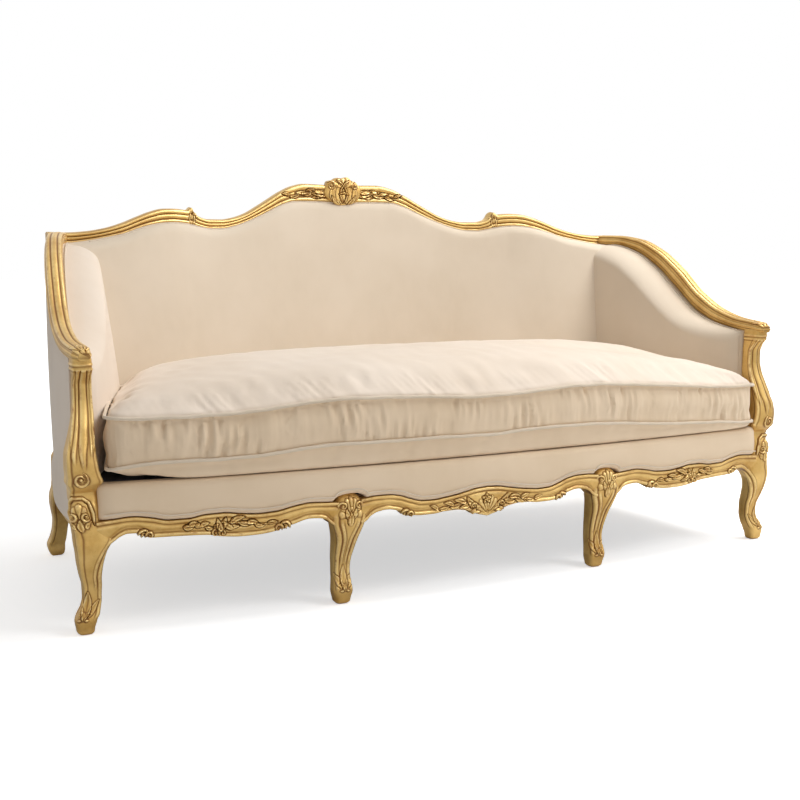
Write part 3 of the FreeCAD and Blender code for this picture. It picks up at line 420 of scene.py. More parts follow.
    def spray(self, root: Pair, way: float, length: float, rise: float = 3.2, seed: int = 1) -> None:
        """A trailing acanthus spray.

        Args:
            root: where its stem starts.
            way: 1 to trail to the right, -1 to the left.
            length: how far it trails.
            rise: height of its leaves.
            seed: which arrangement of leaves.
        """
        source = np.random.default_rng(seed)
        share = np.linspace(0, 1, 14)
        stem = np.stack([root[0] + way * length * share, root[1] + 4.5 * np.sin(share * 5.2 + 0.5) - 2], 1)
        around, _, _ = self.to_path(stem)
        self.height -= 1.2 * bell(around, 9.0)
        # Glaze and painted shade on the sunk ground round the spray.
        self.darken(0.22 * np.exp(-(around / 10.0) ** 4))
        self.rod(stem, 2.0, 0.8 * rise, taper=0.05, tip=0.8)
        for index, at in enumerate(np.linspace(0.0, 0.86, 6)):
            spot = stem[int(at * 13)]
            up = 1 if index % 2 else -1
            size = length * (0.34 - 0.16 * at) * source.uniform(0.85, 1.1)
            heading = (90 - way * 90) + way * up * source.uniform(20, 42)
            self.leaf((spot[0], spot[1]), size, heading, 6.2 * (1 - 0.35 * at), rise,
                      -way * up * source.uniform(25, 60))

    def shell(self, centre: Pair, radius: float, high: float, rise: float, flutes: int = 7,
              spread: float = 200.0, heading: float = 90.0) -> None:
        """A fluted scallop shell that fans out from its hinge.

        Args:
            centre: of its hinge.
            radius: across.
            high: upwards.
            rise: height of its ribs.
            flutes: number of ribs.
            spread: angle of the fan in degrees.
            heading: of its middle rib in degrees.
        """
        turn = math.radians(heading)
        flat_x, flat_y = self.across - centre[0], self.up - centre[1]
        ahead = (flat_x * math.cos(turn) + flat_y * math.sin(turn)) / high
        aside = (-flat_x * math.sin(turn) + flat_y * math.cos(turn)) / radius
        reach = np.hypot(ahead, aside)
        bearing = np.degrees(np.arctan2(aside, ahead))
        inside_fan = np.abs(bearing) < spread / 2
        rib = np.abs(np.cos(bearing / spread * np.pi * flutes))
        edge = 0.9 + 0.1 * rib
        inside = (reach < edge) & inside_fan
        form = (rise * (0.35 + 0.75 * rib ** 0.7) * np.sqrt(np.clip(1 - (reach / edge) ** 5, 0, 1))
                * (0.5 + 0.6 * reach))
        self.height = np.where(inside, np.maximum(self.height * 0.3 + form, form), self.height)
        rim = np.exp(-((reach - edge) * radius / 0.9) ** 2) * inside_fan
        groove = bell(rib, 0.25) * inside * (reach > 0.2)
        self.darken(np.maximum(rim, 0.8 * groove))

    def tone(self, reach: int = 3) -> Array:
        """How far each point stands above its surroundings, 0.5 where level, less along the outlines; the
        gilding reads it for glaze and painted shade in the hollows and a painted highlight on what stands
        proud.
        """
        proud = self.height - blur(self.height, reach)
        return np.clip(0.5 + proud * 0.26 - 0.38 * self.line, 0.0, 1.0)


# ---- Finishes ----


class Body(Enum):
    """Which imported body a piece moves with."""

    FRAME = "frame"
    CUSHION = "seat_cushion"


@dataclass
class NodeBoard:
    """A material's node tree, with short calls to add and join nodes."""

    name: str
    material: Material = field(init=False)

    def __post_init__(self) -> None:
        """Starts an empty material with its shader and output."""
        self.material = bpy.data.materials.new(self.name)
        self.material.use_nodes = True
        self.tree = self.material.node_tree
        self.shader = self.tree.nodes["Principled BSDF"]
        self.place = self.add("ShaderNodeTexCoord").outputs["Object"]

    def add(self, kind: str, **settings: object) -> bpy.types.Node:
        """Adds a node and sets its properties or its input sockets by name."""
        node = self.tree.nodes.new(kind)
        for key, value in settings.items():
            if hasattr(node, key):
                setattr(node, key, value)
            else:
                node.inputs[key.replace("_", " ")].default_value = value
        return node

    def join(self, source: Socket, target: Socket) -> None:
        """Links one socket to another."""
        self.tree.links.new(source, target)

    def feed(self, value: object, socket: Socket) -> None:
        """Links a socket, or sets it to a plain number or colour."""
        if isinstance(value, Socket):
            self.join(value, socket)
        else:
            socket.default_value = (*value, 1.0) if isinstance(value, tuple) else value

    def even(self, **values: object) -> None:
        """Sets the shader's own sockets, for what is the same all over."""
        for key, value in values.items():
            self.shader.inputs[key.replace("_", " ")].default_value = value

    def noise(self, scale: float, detail: float = 4.0, roughness: float = 0.6,
              stretch: Triple | None = None) -> Socket:
        """Noise in the piece's own coordinates.

        Args:
            scale: waves per metre.
            detail: octaves.
            roughness: how strong the finer octaves are.
            stretch: scale factors along each axis.

        Returns:
            The noise value's socket.
        """
        node = self.add("ShaderNodeTexNoise", Scale=scale, Detail=detail, Roughness=roughness)
        place = self.place
        if stretch:
            mapping = self.add("ShaderNodeMapping", Scale=stretch)
            self.join(self.place, mapping.inputs["Vector"])
            place = mapping.outputs["Vector"]
        self.join(place, node.inputs["Vector"])
        return node.outputs["Fac"]

    def ramp(self, source: Socket, stops: list[tuple[float, Triple]]) -> Socket:
        """Maps a value to colours."""
        node = self.add("ShaderNodeValToRGB")
        for element, (where, colour) in zip(node.color_ramp.elements, stops):
            element.position = where
            element.color = (*colour, 1.0)
        self.join(source, node.inputs["Fac"])
        return node.outputs["Color"]

    def mask(self, source: Socket, low: float, high: float, start: float, end: float) -> Socket:
        """Maps a value to a share that goes from start at low to end at high."""
        return self.ramp(source, [(low, (start,) * 3), (high, (end,) * 3)])

    def mix(self, share: Socket | float, one: object, two: object) -> Socket:
        """Mixes two colours, each a socket or a plain colour."""
        node = self.add("ShaderNodeMix", data_type="RGBA", blend_type="MIX")
        for socket, value in ((node.inputs[0], share), (node.inputs[6], one), (node.inputs[7], two)):
            self.feed(value, socket)
        return node.outputs[2]

    def math(self, operation: str, one: object, two: object) -> Socket:
        """Works out one value from two, each a socket or a number."""
        node = self.add("ShaderNodeMath", operation=operation)
        self.feed(one, node.inputs[0])
        self.feed(two, node.inputs[1])
        return node.outputs[0]

    def bump(self, height: Socket, strength: float, distance: float) -> None:
        """Gives the shader fine relief that the mesh doesn't have."""
        node = self.add("ShaderNodeBump", Strength=strength, Distance=distance)
        self.join(height, node.inputs["Height"])
        self.join(node.outputs["Normal"], self.shader.inputs["Normal"])

    def colour(self, source: Socket) -> None:
        """Feeds the shader's colour."""
        self.join(source, self.shader.inputs["Base Color"])

    def rough(self, source: Socket, low: float, high: float) -> None:
        """Feeds the shader's roughness from a value spread over a range."""
        node = self.add("ShaderNodeMapRange", To_Min=low, To_Max=high)
        self.join(source, node.inputs["Value"])
        self.join(node.outputs["Result"], self.shader.inputs["Roughness"])


@dataclass(frozen=True)
class Gilding:
    """Antique water gilding: warm leaf, red clay where it is rubbed, brown glazing that is partly real and
    partly painted shade in the cuts, and a painted highlight on the raised carving.
    """

    name: str = "antique_gilding"
    leaf: Triple = (0.50, 0.275, 0.058)
    pale: Triple = (0.80, 0.545, 0.19)
    painted_highlight: Triple = (0.93, 0.72, 0.34)
    glaze_and_painted_shade: Triple = (0.20, 0.080, 0.018)
    clay: Triple = (0.40, 0.16, 0.055)
    carved: bool = True

    def make(self) -> Material:
        """Builds the material."""
        board = NodeBoard(self.name)
        board.even(Metallic=0.55, Specular_IOR_Level=0.5)
        patches = board.noise(9.0, 5.0, 0.62)
        gold = board.ramp(patches, [(0.32, self.leaf), (0.66, self.pale)])
        rubbing = board.noise(60.0, 6.0, 0.7)
        if self.carved:
            carve = board.add("ShaderNodeAttribute", attribute_name="carve").outputs["Fac"]
            worn = board.math("MULTIPLY", board.mask(rubbing, 0.50, 0.66, 0.0, 1.0),
                              board.mask(carve, 0.54, 0.76, 0.0, 0.85))
            # Hollows and cut outlines are mixed to the brown glaze: partly real glaze, partly painted shade.
            deep = board.mask(carve, 0.04, 0.51, 0.95, 0.0)
            # Painted highlight: the carving's raised points are mixed to a brighter gold.
            proud = board.mask(carve, 0.52, 0.80, 0.0, 0.65)
            gold = board.mix(proud, gold, self.painted_highlight)
            gold = board.mix(worn, gold, self.clay)
            gold = board.mix(deep, gold, self.glaze_and_painted_shade)
            board.rough(carve, 0.52, 0.30)
        else:
            gold = board.mix(board.mask(rubbing, 0.60, 0.74, 0.0, 0.6), gold, self.clay)
            board.rough(patches, 0.46, 0.34)
        specks = board.mask(board.noise(420.0, 3.0, 0.7), 0.30, 0.38, 1.0, 0.0)
        board.colour(board.mix(board.math("MULTIPLY", specks, 0.35), gold, self.glaze_and_painted_shade))
        board.bump(board.noise(210.0, 5.0, 0.7), 0.22, 0.0012)
        return board.material


@dataclass(frozen=True)
class Pile:
    """Short-pile furnishing cloth: soft sheen, fine weave, slow changes of shade."""

    name: str
    light: Triple
    shade: Triple
    sheen: float = 0.35
    weave: float = 0.10

    def make(self) -> Material:
        """Builds the material."""
        board = NodeBoard(self.name)
        slow = board.noise(4.5, 3.0, 0.5)
        brushed = board.noise(38.0, 5.0, 0.65, (1.0, 1.0, 0.45))
        cloth = board.ramp(slow, [(0.30, self.shade), (0.68, self.light)])
        cloth = board.mix(board.mask(brushed, 0.38, 0.72, 0.0, 0.35), cloth, self.light)
        threads = board.noise(1500.0, 2.0, 0.6)
        board.colour(board.mix(board.mask(threads, 0.3, 0.7, 0.22, 0.0), cloth, self.shade))
        board.even(Roughness=0.88, Specular_IOR_Level=0.18, Sheen_Weight=self.sheen, Sheen_Roughness=0.45,
                   Sheen_Tint=(1.0, 0.96, 0.9, 1.0))
        relief = board.math("ADD", board.math("MULTIPLY", threads, self.weave),
                            board.math("MULTIPLY", brushed, 0.35))
        board.bump(relief, 0.35, 0.0015)
        return board.material


@dataclass(frozen=True)
class PlainWeave:
    """Webbing, hessian or lining: two crossing thread directions."""

    name: str
    thread: Triple
    gap: Triple
    pitch: float

    def make(self) -> Material:
        """Builds the material."""
        board = NodeBoard(self.name)
        waves = []
        for direction in ("X", "Y"):
            wave = board.add("ShaderNodeTexWave", bands_direction=direction,
                             Scale=1.0 / self.pitch / 6.283 * 3.14, Distortion=0.6)
            board.join(board.place, wave.inputs["Vector"])
            waves.append(wave.outputs["Fac"])
        cross = board.math("MAXIMUM", *waves)
        cloth = board.ramp(cross, [(0.2, self.gap), (0.75, self.thread)])
        board.colour(board.mix(board.math("MULTIPLY", board.noise(35.0), 0.5), cloth, self.gap))
        board.even(Roughness=0.9, Specular_IOR_Level=0.15)
        board.bump(cross, 0.5, 0.001)
        return board.material


@dataclass(frozen=True)
class Timber:
    """Sawn wood with straight grain along X."""

    name: str
    early: Triple
    late: Triple

    def make(self) -> Material:
        """Builds the material."""
        board = NodeBoard(self.name)
        stretch = (0.08, 1.0, 1.0)
        grain = board.noise(70.0, 6.0, 0.65, stretch)
        fine = board.noise(420.0, 4.0, 0.7, stretch)
        wood = board.ramp(grain, [(0.34, self.late), (0.62, self.early)])
        board.colour(board.mix(board.mask(fine, 0.32, 0.5, 0.6, 0.0), wood, self.late))
        board.rough(grain, 0.72, 0.52)
        board.bump(fine, 0.3, 0.0008)
        return board.material


@dataclass(frozen=True)
class Steel:
    """Plain turned steel for screws."""

    name: str = "screw_steel"

    def make(self) -> Material:
        """Builds the material."""
        board = NodeBoard(self.name)
        turned = board.noise(900.0, 3.0, 0.6)
        board.colour(board.ramp(turned, [(0.3, (0.42, 0.42, 0.43)), (0.7, (0.66, 0.66, 0.67))]))
        board.even(Metallic=1.0)
        board.rough(turned, 0.3, 0.45)
        board.bump(turned, 0.15, 0.0004)
        return board.material


@dataclass
class Finishes:
    """Every material of the sofa, made once."""

    gilding: Material = field(default_factory=Gilding().make)
    cream: Material = field(default_factory=Pile("cream_pile", (0.82, 0.71, 0.60), (0.76, 0.64, 0.52)).make)
    # back and boxing are darker copies of the cream cloth: painted shade for faces that catch less light than
    # the cushion's top.
    back: Material = field(default_factory=Pile("back_pile", (0.74, 0.63, 0.50), (0.67, 0.56, 0.43)).make)
    boxing: Material = field(default_factory=Pile(
        "boxing_pile", (0.82, 0.655, 0.475), (0.75, 0.585, 0.405)).make)
    beech: Material = field(default_factory=Timber("plain_beech", (0.62, 0.46, 0.31), (0.50, 0.34, 0.20)).make)
    steel: Material = field(default_factory=Steel().make)
    jute: Material = field(default_factory=PlainWeave(
        "jute_weave", (0.50, 0.38, 0.22), (0.22, 0.15, 0.08), 0.003).make)
    lining: Material = field(default_factory=PlainWeave(
        "dark_lining", (0.150, 0.165, 0.200), (0.065, 0.072, 0.090), 0.0012).make)

    def dress(self, piece: Piece, material: Material) -> None:
        """Gives a piece one material."""
        piece.data.materials.clear()
        piece.data.materials.append(material)


@dataclass
class Maker:
    """What every sub-assembly shares: the finishes, and how a piece is fitted to the frame."""

    finishes: Finishes

    def fit(self, piece: Piece, material: Material, slot: str, *replaced: str,
            body: Body = Body.FRAME) -> Piece:
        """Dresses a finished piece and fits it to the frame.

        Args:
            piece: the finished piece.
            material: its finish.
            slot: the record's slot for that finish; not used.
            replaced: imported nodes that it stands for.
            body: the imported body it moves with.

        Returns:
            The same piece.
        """
        self.finishes.dress(piece, material)
        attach(piece, body.value)
        if replaced:
            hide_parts(*replaced)
        LOG.info("%s: %d faces on %s", piece.name, len(piece.data.polygons), body.value)
        return piece

    def gild(self, name: str, net: Array, carving: Carving, node: str, face: Array | None = None,
             plain: float = 0.5) -> Piece:
        """Cuts a relief into a net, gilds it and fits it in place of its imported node.

        Args:
            name: the piece's name.
            net: its plain closed net.
            carving: the relief over it.
            node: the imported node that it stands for.
            face: which points are carved; all of them if none.
            plain: tone of the points that aren't.

        Returns:
            The finished piece.
        """
        height, tone = carving.height, carving.tone()
        if face is not None:
            height, tone = np.where(face, height, 0.0), np.where(face, tone, plain)
        piece = skin(name, raise_net(net, height * MM), carve=tone)
        return self.fit(piece, self.finishes.gilding, "gilded_wood", node)


# ---- Plan lines shared by frame and upholstery ----


def arc_radius(half: float, rise: float) -> float:
    """Radius of an arc, from half its chord and its rise."""
    return half ** 2 / (2 * rise) + rise / 2


def front_line(x: Array) -> Array:
    """How far forward the front rail's face stands at x: a shallow bow between the corner legs."""
    half, rise, corner = 0.960, 0.078, -0.388
    radius = arc_radius(half, rise)
    return corner - (np.sqrt(radius ** 2 - np.asarray(x, float) ** 2) - (radius - rise))


def bow(x: Array, centre: float, end: float, half: float, turn: float = 0.52, arch: float = 0.077,
        flare: float = 0.013) -> Array:
    """A back's plan line: an arch in the middle that turns the other way at turn.

    Args:
        x: places across.
        centre: y of the arch's middle.
        end: y of the line's ends.
        half: x of its ends.
        turn: x where the arch ends.
        arch: rise of the arch.
        flare: rise of the outer parts, the other way.

    Returns:
        The line's y.
    """
    side = np.abs(np.asarray(x, float))
    radius = arc_radius(turn, arch)
    middle = centre - (radius - np.sqrt(np.maximum(radius ** 2 - side ** 2, 0)))
    share = np.clip((side - turn) / (half - turn), 0, 1.2)
    outer = centre - arch + (end - centre + arch) * share - 4 * flare * share * (1 - share)
    return np.where(side <= turn, middle, outer)


def crest_line(x: Array, z: Array) -> Array:
    """Front of the crest: its plan bow, leaning back with height."""
    return bow(x, 0.347, 0.217, 0.898) + 0.12 * (np.asarray(z, float) - FRAME_TOP)


def pad_line(x: Array, z: Array) -> Array:
    """Front of the padded inside back."""
    return bow(x, 0.246, 0.056, 0.960) + 0.25 * (np.asarray(z, float) - FRAME_TOP)


def arm_line(y: Array) -> Array:
    """Outer face of the arm's rail at a depth: a shallow bow from its nose to its butt."""
    nose, butt, span, rise = -0.392, 0.288, 0.680, 0.033
    nose_x, butt_x = 0.969, 0.892
    radius = arc_radius((butt - nose) / 2, rise)
    away = np.asarray(y, float) - (butt + nose) / 2
    chord = nose_x + (butt_x - nose_x) * (np.asarray(y, float) - nose) / span
    return chord + np.sqrt(np.maximum(radius ** 2 - away ** 2, 0)) - (radius - rise)


def arm_pad_line(y: Array, z: Array) -> Array:
    """Inner face of the arm's padding: it twists outwards as it rises."""
    front, depth, front_x, hollow = -0.312, 0.593, 0.912, 0.012
    rear_low, rear_high, rise = 0.695, 0.792, 0.600
    share = np.clip((np.asarray(y, float) - front) / depth, 0, 1)
    rear = rear_low + (rear_high - rear_low) * (np.asarray(z, float) - FRAME_TOP) / rise
    return front_x + (rear - front_x) * share - 4 * hollow * share * (1 - share)


ARM_TOP = [
    (-0.392, 0.626), (-0.371, 0.630), (-0.285, 0.639), (-0.199, 0.662), (-0.113, 0.709), (-0.027, 0.781),
    (0.056, 0.836), (0.137, 0.868), (0.216, 0.879), (0.288, 0.881)]
ARM_LOW = [
    (-0.392, 0.598), (-0.287, 0.606), (-0.201, 0.620), (-0.158, 0.633), (-0.115, 0.652), (-0.073, 0.681),
    (-0.030, 0.716), (0.054, 0.783), (0.136, 0.829), (0.215, 0.849), (0.288, 0.851)]
CREST_TOP = [
    (0.0, 1.028), (0.12, 1.031), (0.16, 1.023), (0.20, 1.006), (0.24, 0.983), (0.28, 0.960), (0.32, 0.939),
    (0.36, 0.926), (0.40, 0.920), (0.44, 0.920), (0.47, 0.927), (0.495, 0.942), (0.55, 0.9475),
    (0.58, 0.9465), (0.62, 0.937), (0.66, 0.922), (0.70, 0.906), (0.75, 0.891), (0.80, 0.8825), (0.85, 0.879),
    (0.90, 0.880)]
CREST_LOW = [
    (0.0, 0.979), (0.12, 0.981), (0.16, 0.980), (0.20, 0.970), (0.24, 0.952), (0.28, 0.934), (0.32, 0.918),
    (0.36, 0.905), (0.40, 0.897), (0.44, 0.896), (0.47, 0.901), (0.52, 0.910), (0.55, 0.912), (0.58, 0.9105),
    (0.62, 0.904), (0.66, 0.893), (0.70, 0.879), (0.75, 0.868), (0.80, 0.859), (0.85, 0.853), (0.90, 0.852)]
RAIL_TOP = [
    (0.0, 0.260), (0.03, 0.258), (0.06, 0.2525), (0.09, 0.247), (0.12, 0.243), (0.15, 0.240), (0.18, 0.241),
    (0.21, 0.249), (0.24, 0.259), (0.27, 0.263), (0.30, 0.263), (0.33, 0.260), (0.37, 0.256), (0.42, 0.258),
    (0.46, 0.260), (0.50, 0.255), (0.54, 0.247), (0.58, 0.245), (0.62, 0.248), (0.66, 0.253), (0.70, 0.252),
    (0.74, 0.246), (0.78, 0.246), (0.82, 0.254), (0.86, 0.259), (0.90, 0.256), (0.94, 0.252)]
RAIL_LOW = [
    (0.0, 0.1865), (0.03, 0.1945), (0.06, 0.206), (0.09, 0.210), (0.12, 0.209), (0.15, 0.206), (0.18, 0.206),
    (0.21, 0.209), (0.24, 0.2225), (0.27, 0.228), (0.295, 0.2245), (0.311, 0.217), (0.323, 0.206),
    (0.334, 0.200), (0.398, 0.200), (0.409, 0.206), (0.421, 0.217), (0.44, 0.2225), (0.46, 0.2235),
    (0.50, 0.214), (0.54, 0.202), (0.58, 0.197), (0.62, 0.196), (0.66, 0.199), (0.70, 0.206), (0.74, 0.208),
    (0.78, 0.209), (0.82, 0.2095), (0.85, 0.222), (0.868, 0.2225), (0.885, 0.217), (0.899, 0.207),
    (0.912, 0.199), (0.935, 0.197)]


# ---- The carved front rails ----


@dataclass
class FrontRails(Maker):
    """Three serpentine rails with a bead, C-scrolls, leaf sprays and a rocaille shell.

    Attributes:
        deep: from the face to the back.
        pace: distance between stations along a rail.
        face: points up the carved face.
        plain: tone of the uncarved sides.
    """

    deep: float = 0.045
    pace: float = 0.00125
    face: int = 44
    plain: float = 0.42

    def net(self, start: float, end: float) -> tuple[Array, Carving, Array]:
        """Lays out one rail.

        Args:
            start: x of its left end.
            end: x of its right end.

        Returns:
            Its plain closed net, a carving over its face, and which points are on the face.
        """
        x = np.linspace(start, end, int((end - start) / self.pace))[:, None]
        top, low = through(RAIL_TOP, np.abs(x)), through(RAIL_LOW, np.abs(x))
        share = np.linspace(0, 1, self.face)[None, :]
        set_back = 0.004 * (1 - share) ** 2
        face = laid(x, front_line(x) + set_back, low + (top - low) * share)
        rear = laid(x, front_line(x) + self.deep, low + (top - low) * np.linspace(1, 0, 8)[None, :])
        net = np.concatenate([face, rear], axis=1)
        carving = Carving(net[..., 0] / MM, net[..., 2] / MM)
        from_low, from_top = (net[..., 2] - low) / MM, (top - net[..., 2]) / MM
        carving.height = (5.0 * half_round((from_low - 5.0) / 5.0) - 2.6 * bell(from_low - 12.5, 2.8)
                          + 3.0 * half_round((from_top - 4.0) / 4.0) - 1.2 * bell(from_top - 10.0, 2.0)
                          + 2.6 * smooth(13, 24, from_low) * smooth(9, 18, from_top))
        # Dark lines in the grooves beside the beads: glaze and painted shade.
        carving.line = np.maximum(0.60 * bell(from_low - 11.8, 2.0), 0.45 * bell(from_top - 9.6, 1.6))
        return net, carving, leading(net, self.face)

    def drop(self, carving: Carving, x: float, low: float, way: float, size: float = 1.0) -> None:
        """A pair of C-scrolls back to back, where the bead breaks.

        Args:
            carving: the rail's relief.
            x: where it hangs.
            low: the lower edge there.
            way: 1 or -1, the side of the larger scroll.
            size: scale of the pair.
        """
        carving.scroll((x + way * 8 * size, low + 10 * size), 12 * size, 90 + way * 100, way * -400,
                       2.9 * size, 6.4)
        carving.scroll((x - way * 8 * size, low + 8 * size), 8.5 * size, 90 - way * 100, way * 380,
                       2.4 * size, 5.6)
        carving.leaf((x, low + 4), 17 * size, 90 + way * 8, 3.4 * size, 4.4)

    def outer(self, side: int) -> Piece:
        """One of the two outer rails; side is 1 on the right, -1 on the left."""
        net, carving, on_face = self.net(*sorted((side * 0.392, side * 0.934)))
        for x, low, way, size in ((830, 208, 1, 0.95), (671, 201, 1, 0.9), (527, 200, -1, 1.05)):
            self.drop(carving, side * x, low, side * way, size)
        carving.spray((side * 750, 229), -side, 80, 5.2, seed=3 + side)
        carving.spray((side * 664, 228), -side, 120, 6.0, seed=7 + side)
        carving.leaves(side, (672, 214, 34, 40, 7.6, 6.0, -24), (666, 214, 30, -30, 6.6, 5.6, 26),
                       (640, 216, 30, -70, 6.0, 5.6, 44))
        return self.gild(f"{hand(side)}_serpentine_rail", net, carving, f"{hand(side)}_front_rail",
                         on_face, self.plain)

    def centre(self) -> Piece:
        """The middle rail with its shell and flower."""
        net, carving, on_face = self.net(-0.336, 0.336)
        for side in (1, -1):
            self.drop(carving, side * 217, 204, side, 0.95)
            carving.spray((side * 46, 224), side, 108, 5.6, seed=21 + side)
            carving.leaves(side, (34, 214, 36, -62, 7.0, 6.0, 40), (16, 203, 38, -78, 6.6, 6.2, -46))
            carving.scroll((side * 40, 214), 10, 90 + side * 130, -side * 360, 2.4, 5.0)
        carving.shell((0, 193), 36, 50, 6.2, flutes=7, spread=150)
        for turn in range(5):
            carving.leaf((-4, 232), 13, 90 + 72 * turn, 4.6, 6.4)
        carving.dot((-4, 232), 3.6, 7.6)
        return self.gild("centre_serpentine_rail", net, carving, "centre_front_rail", on_face, self.plain)

    def build(self) -> None:
        """Makes the three rails."""
        self.outer(-1)
        self.outer(1)
        self.centre()


# ---- Cabriole legs ----


@dataclass
class Section:
    """One level of a leg or post, in millimetres from its foot's centre.

    Attributes:
        z: height.
        x: shift of the middle, positive away from the sofa's middle line.
        y: shift of the middle, positive to the back.
        wide: size along x.
        deep: size along y.
    """

    z: float
    x: float
    y: float
    wide: float
    deep: float


@dataclass
class LeggedFrame(Maker):
    """Front and rear legs, all lofts through rounded sections with carved mouldings.

    Attributes:
        steps: stations up a leg.
        around: points round it.
    """

    steps: int = 230
    around: int = 132

    def loft(self, rows: tuple[tuple[float, ...], ...], foot: Pair, side: int, square: float = 3.4
             ) -> tuple[Array, Carving, Array]:
        """A closed net through sections.

        Args:
            rows: the numbers of each Section, from the floor up.
            foot: x (unsigned) and y of the foot's centre, in millimetres.
            side: 1 on the right, -1 on the left.
            square: how square the sections are.

        Returns:
            The net, its carving laid out as (distance round from the front middle, height), and the
            bearing of each point in degrees, 0 at the front and 90 on the outer side.
        """
        levels = [Section(*row) for row in rows]
        z = np.linspace(levels[0].z, levels[-1].z, self.steps)[:, None]
        shift_x, shift_y, wide, deep = (through([(level.z, getattr(level, size)) for level in levels], z)
                                        for size in ("x", "y", "wide", "deep"))
        turn = full_turn(self.around)
        aside, ahead = np.sin(turn), np.cos(turn)
        reach = (np.abs(aside) ** square + np.abs(ahead) ** square) ** (-1 / square)
        x = side * (foot[0] + shift_x + wide / 2 * aside * reach)
        y = foot[1] + shift_y - deep / 2 * ahead * reach
        net = laid(x, y, z) * MM
        bearing = either_way(np.broadcast_to(np.degrees(turn), net.shape[:2]))
        round_way = np.radians(bearing) * (wide + deep) / 4 * 1.1
        return net, Carving(round_way, np.broadcast_to(z, net.shape[:2]).copy()), bearing

    def mould(self, carving: Carving, bearing: Array, at: float, size: float, rise: float, low: float,
              high: float) -> None:
        """A bead with a groove each side that follows one edge of a leg.

        Args:
            carving: the leg's relief.
            bearing: of each point in degrees.
            at: bearing of the bead.
            size: half width in degrees.
            rise: height.
            low: where it starts.
            high: where it ends.
        """
        away = apart(bearing, at)
        fade = smooth(low, low + 14, carving.up) * (1 - smooth(high - 14, high, carving.up))
        groove = 0.45 * rise * bell(away - size * 1.35, 0.3 * size)
        carving.height += fade * (rise * half_round(away / size) - groove)
        # Glaze and painted shade in the grooves beside the bead.
        carving.darken(0.62 * fade * bell(away - size * 1.25, 0.22 * size))

    def ankle(self, carving: Carving, at: float) -> None:
        """Leaf carving that wraps the front of the ankle and foot."""
        for turn in (-1, 1):
            carving.scroll((at + turn * 9, 44), 9, 90 - turn * 160, -turn * 330, 2.4, 3.4)
        for turn in (-1, 1):
            carving.leaf((at + turn * 9, 40), 38, 90 - turn * 10, 7.0, 3.6, -turn * 24)
        carving.leaf((at, 34), 62, 90, 8.6, 4.4)

    def arch(self, carving: Carving) -> None:
        """The ridge that arches over the knee's cabochon, across the joint of leg and post."""
        path = [(-15, 248), (-14, 274), (-6, 297), (8, 307), (26, 307), (40, 297), (48, 276), (47, 252)]
        carving.rod(np.array(path, float), 3.4, 4.4, 0.12, 0.12)

    def corner(self, side: int) -> Piece:
        """A front corner leg, with a cabochon on its knee."""
        net, carving, bearing = self.loft((
            (0, -1, 1, 28, 28), (5, 0, 0, 37, 37), (14, 0, 0, 40, 40), (32, -2, 1, 47, 47), (44, -8, 4, 45, 45),
            (58, -14, 8, 40, 40), (78, -18, 10, 38, 38), (104, -18, 8, 40, 40), (134, -14, 1, 46, 46),
            (162, -12, -6, 53, 52), (186, -14, -9, 62, 59), (203, -18, -8, 76, 62), (216, -21, -5, 84, 62),
            (232, -14, -2, 71, 62), (250, -8, 2, 62, 62), (282, -6, 1, 60, 60), (299.5, -6, 8, 61, 62)),
            (960, -362), side)
        sweep = -30 + 34 * smooth(120, 216, carving.up)
        self.mould(carving, bearing, 45, 11, 2.6, 34, 292)
        self.mould(carving, bearing + sweep + 30, -40, 12, 3.6, 30, 236)
        self.mould(carving, bearing + sweep + 30, -14, 8, 2.2, 96, 226)
        self.mould(carving, bearing, 132, 9, 2.4, 30, 292)
        self.ankle(carving, 12)
        knee = 17
        carving.shell((knee, 258), 23, 38, 4.8, flutes=5, spread=220)
        for turn in (-1, 1):
            carving.scroll((knee + turn * 14, 268), 10, 90 - turn * 110, -turn * 420, 2.6, 4.4)
        carving.leaf((knee, 234), 28, 90, 6.4, 4.6)
        for turn in (-1, 1):
            carving.leaf((knee + turn * 10, 240), 24, 90 - turn * 28, 4.8, 4.2, -turn * 30)
        carving.scroll((62, 274), 12, 110, 420, 2.6, 3.6)
        self.arch(carving)
        return self.gild(f"{hand(side)}_cabriole_leg", net, carving, f"{hand(side)}_front_leg")

    def inner(self, side: int) -> Piece:
        """An inner front leg with the shell on its knee."""
        net, carving, bearing = self.loft((
            (0, 0, 1, 28, 28), (5, 0, 0, 38, 38), (14, 0, 0, 42, 42), (32, 0, -2, 49, 48), (46, 0, 2, 45, 45),
            (62, 0, 7, 41, 41), (84, 0, 9, 41, 40), (108, 0, 6, 44, 43), (134, -1, -2, 50, 48),
            (162, -2, -12, 58, 55), (184, -2, -20, 68, 60), (202, -2, -25, 78, 62), (216, -2, -28, 82, 62),
            (236, -2, -29, 76, 60), (256, -2, -29, 64, 58), (268, -2, -26, 48, 50), (275, -2, -20, 26, 40)),
            (366, -402), side)
        for turn in (-1, 1):
            sweep = turn * 12 * smooth(150, 215, carving.up)
            self.mould(carving, bearing - sweep, turn * 38, 11, 3.8, 30, 234)
            self.mould(carving, bearing - 1.5 * sweep, turn * 13, 7, 2.4, 92, 216)
        self.ankle(carving, 0)
        carving.shell((0, 224), 27, 45, 5.2, flutes=7, spread=200)
        carving.dot((0, 242), 4.2, 7.4)
        for turn in (-1, 1):
            carving.scroll((turn * 19, 246), 9, 90 - turn * 110, turn * 400, 2.4, 4.2)
            carving.leaf((turn * 5, 216), 26, 90 - turn * 26, 4.6, 4.0, turn * 22)
        carving.leaf((0, 198), 34, 90, 6.4, 4.4)
        return self.gild(f"{hand(side)}_inner_cabriole_leg", net, carving, f"{hand(side)}_inner_front_leg")

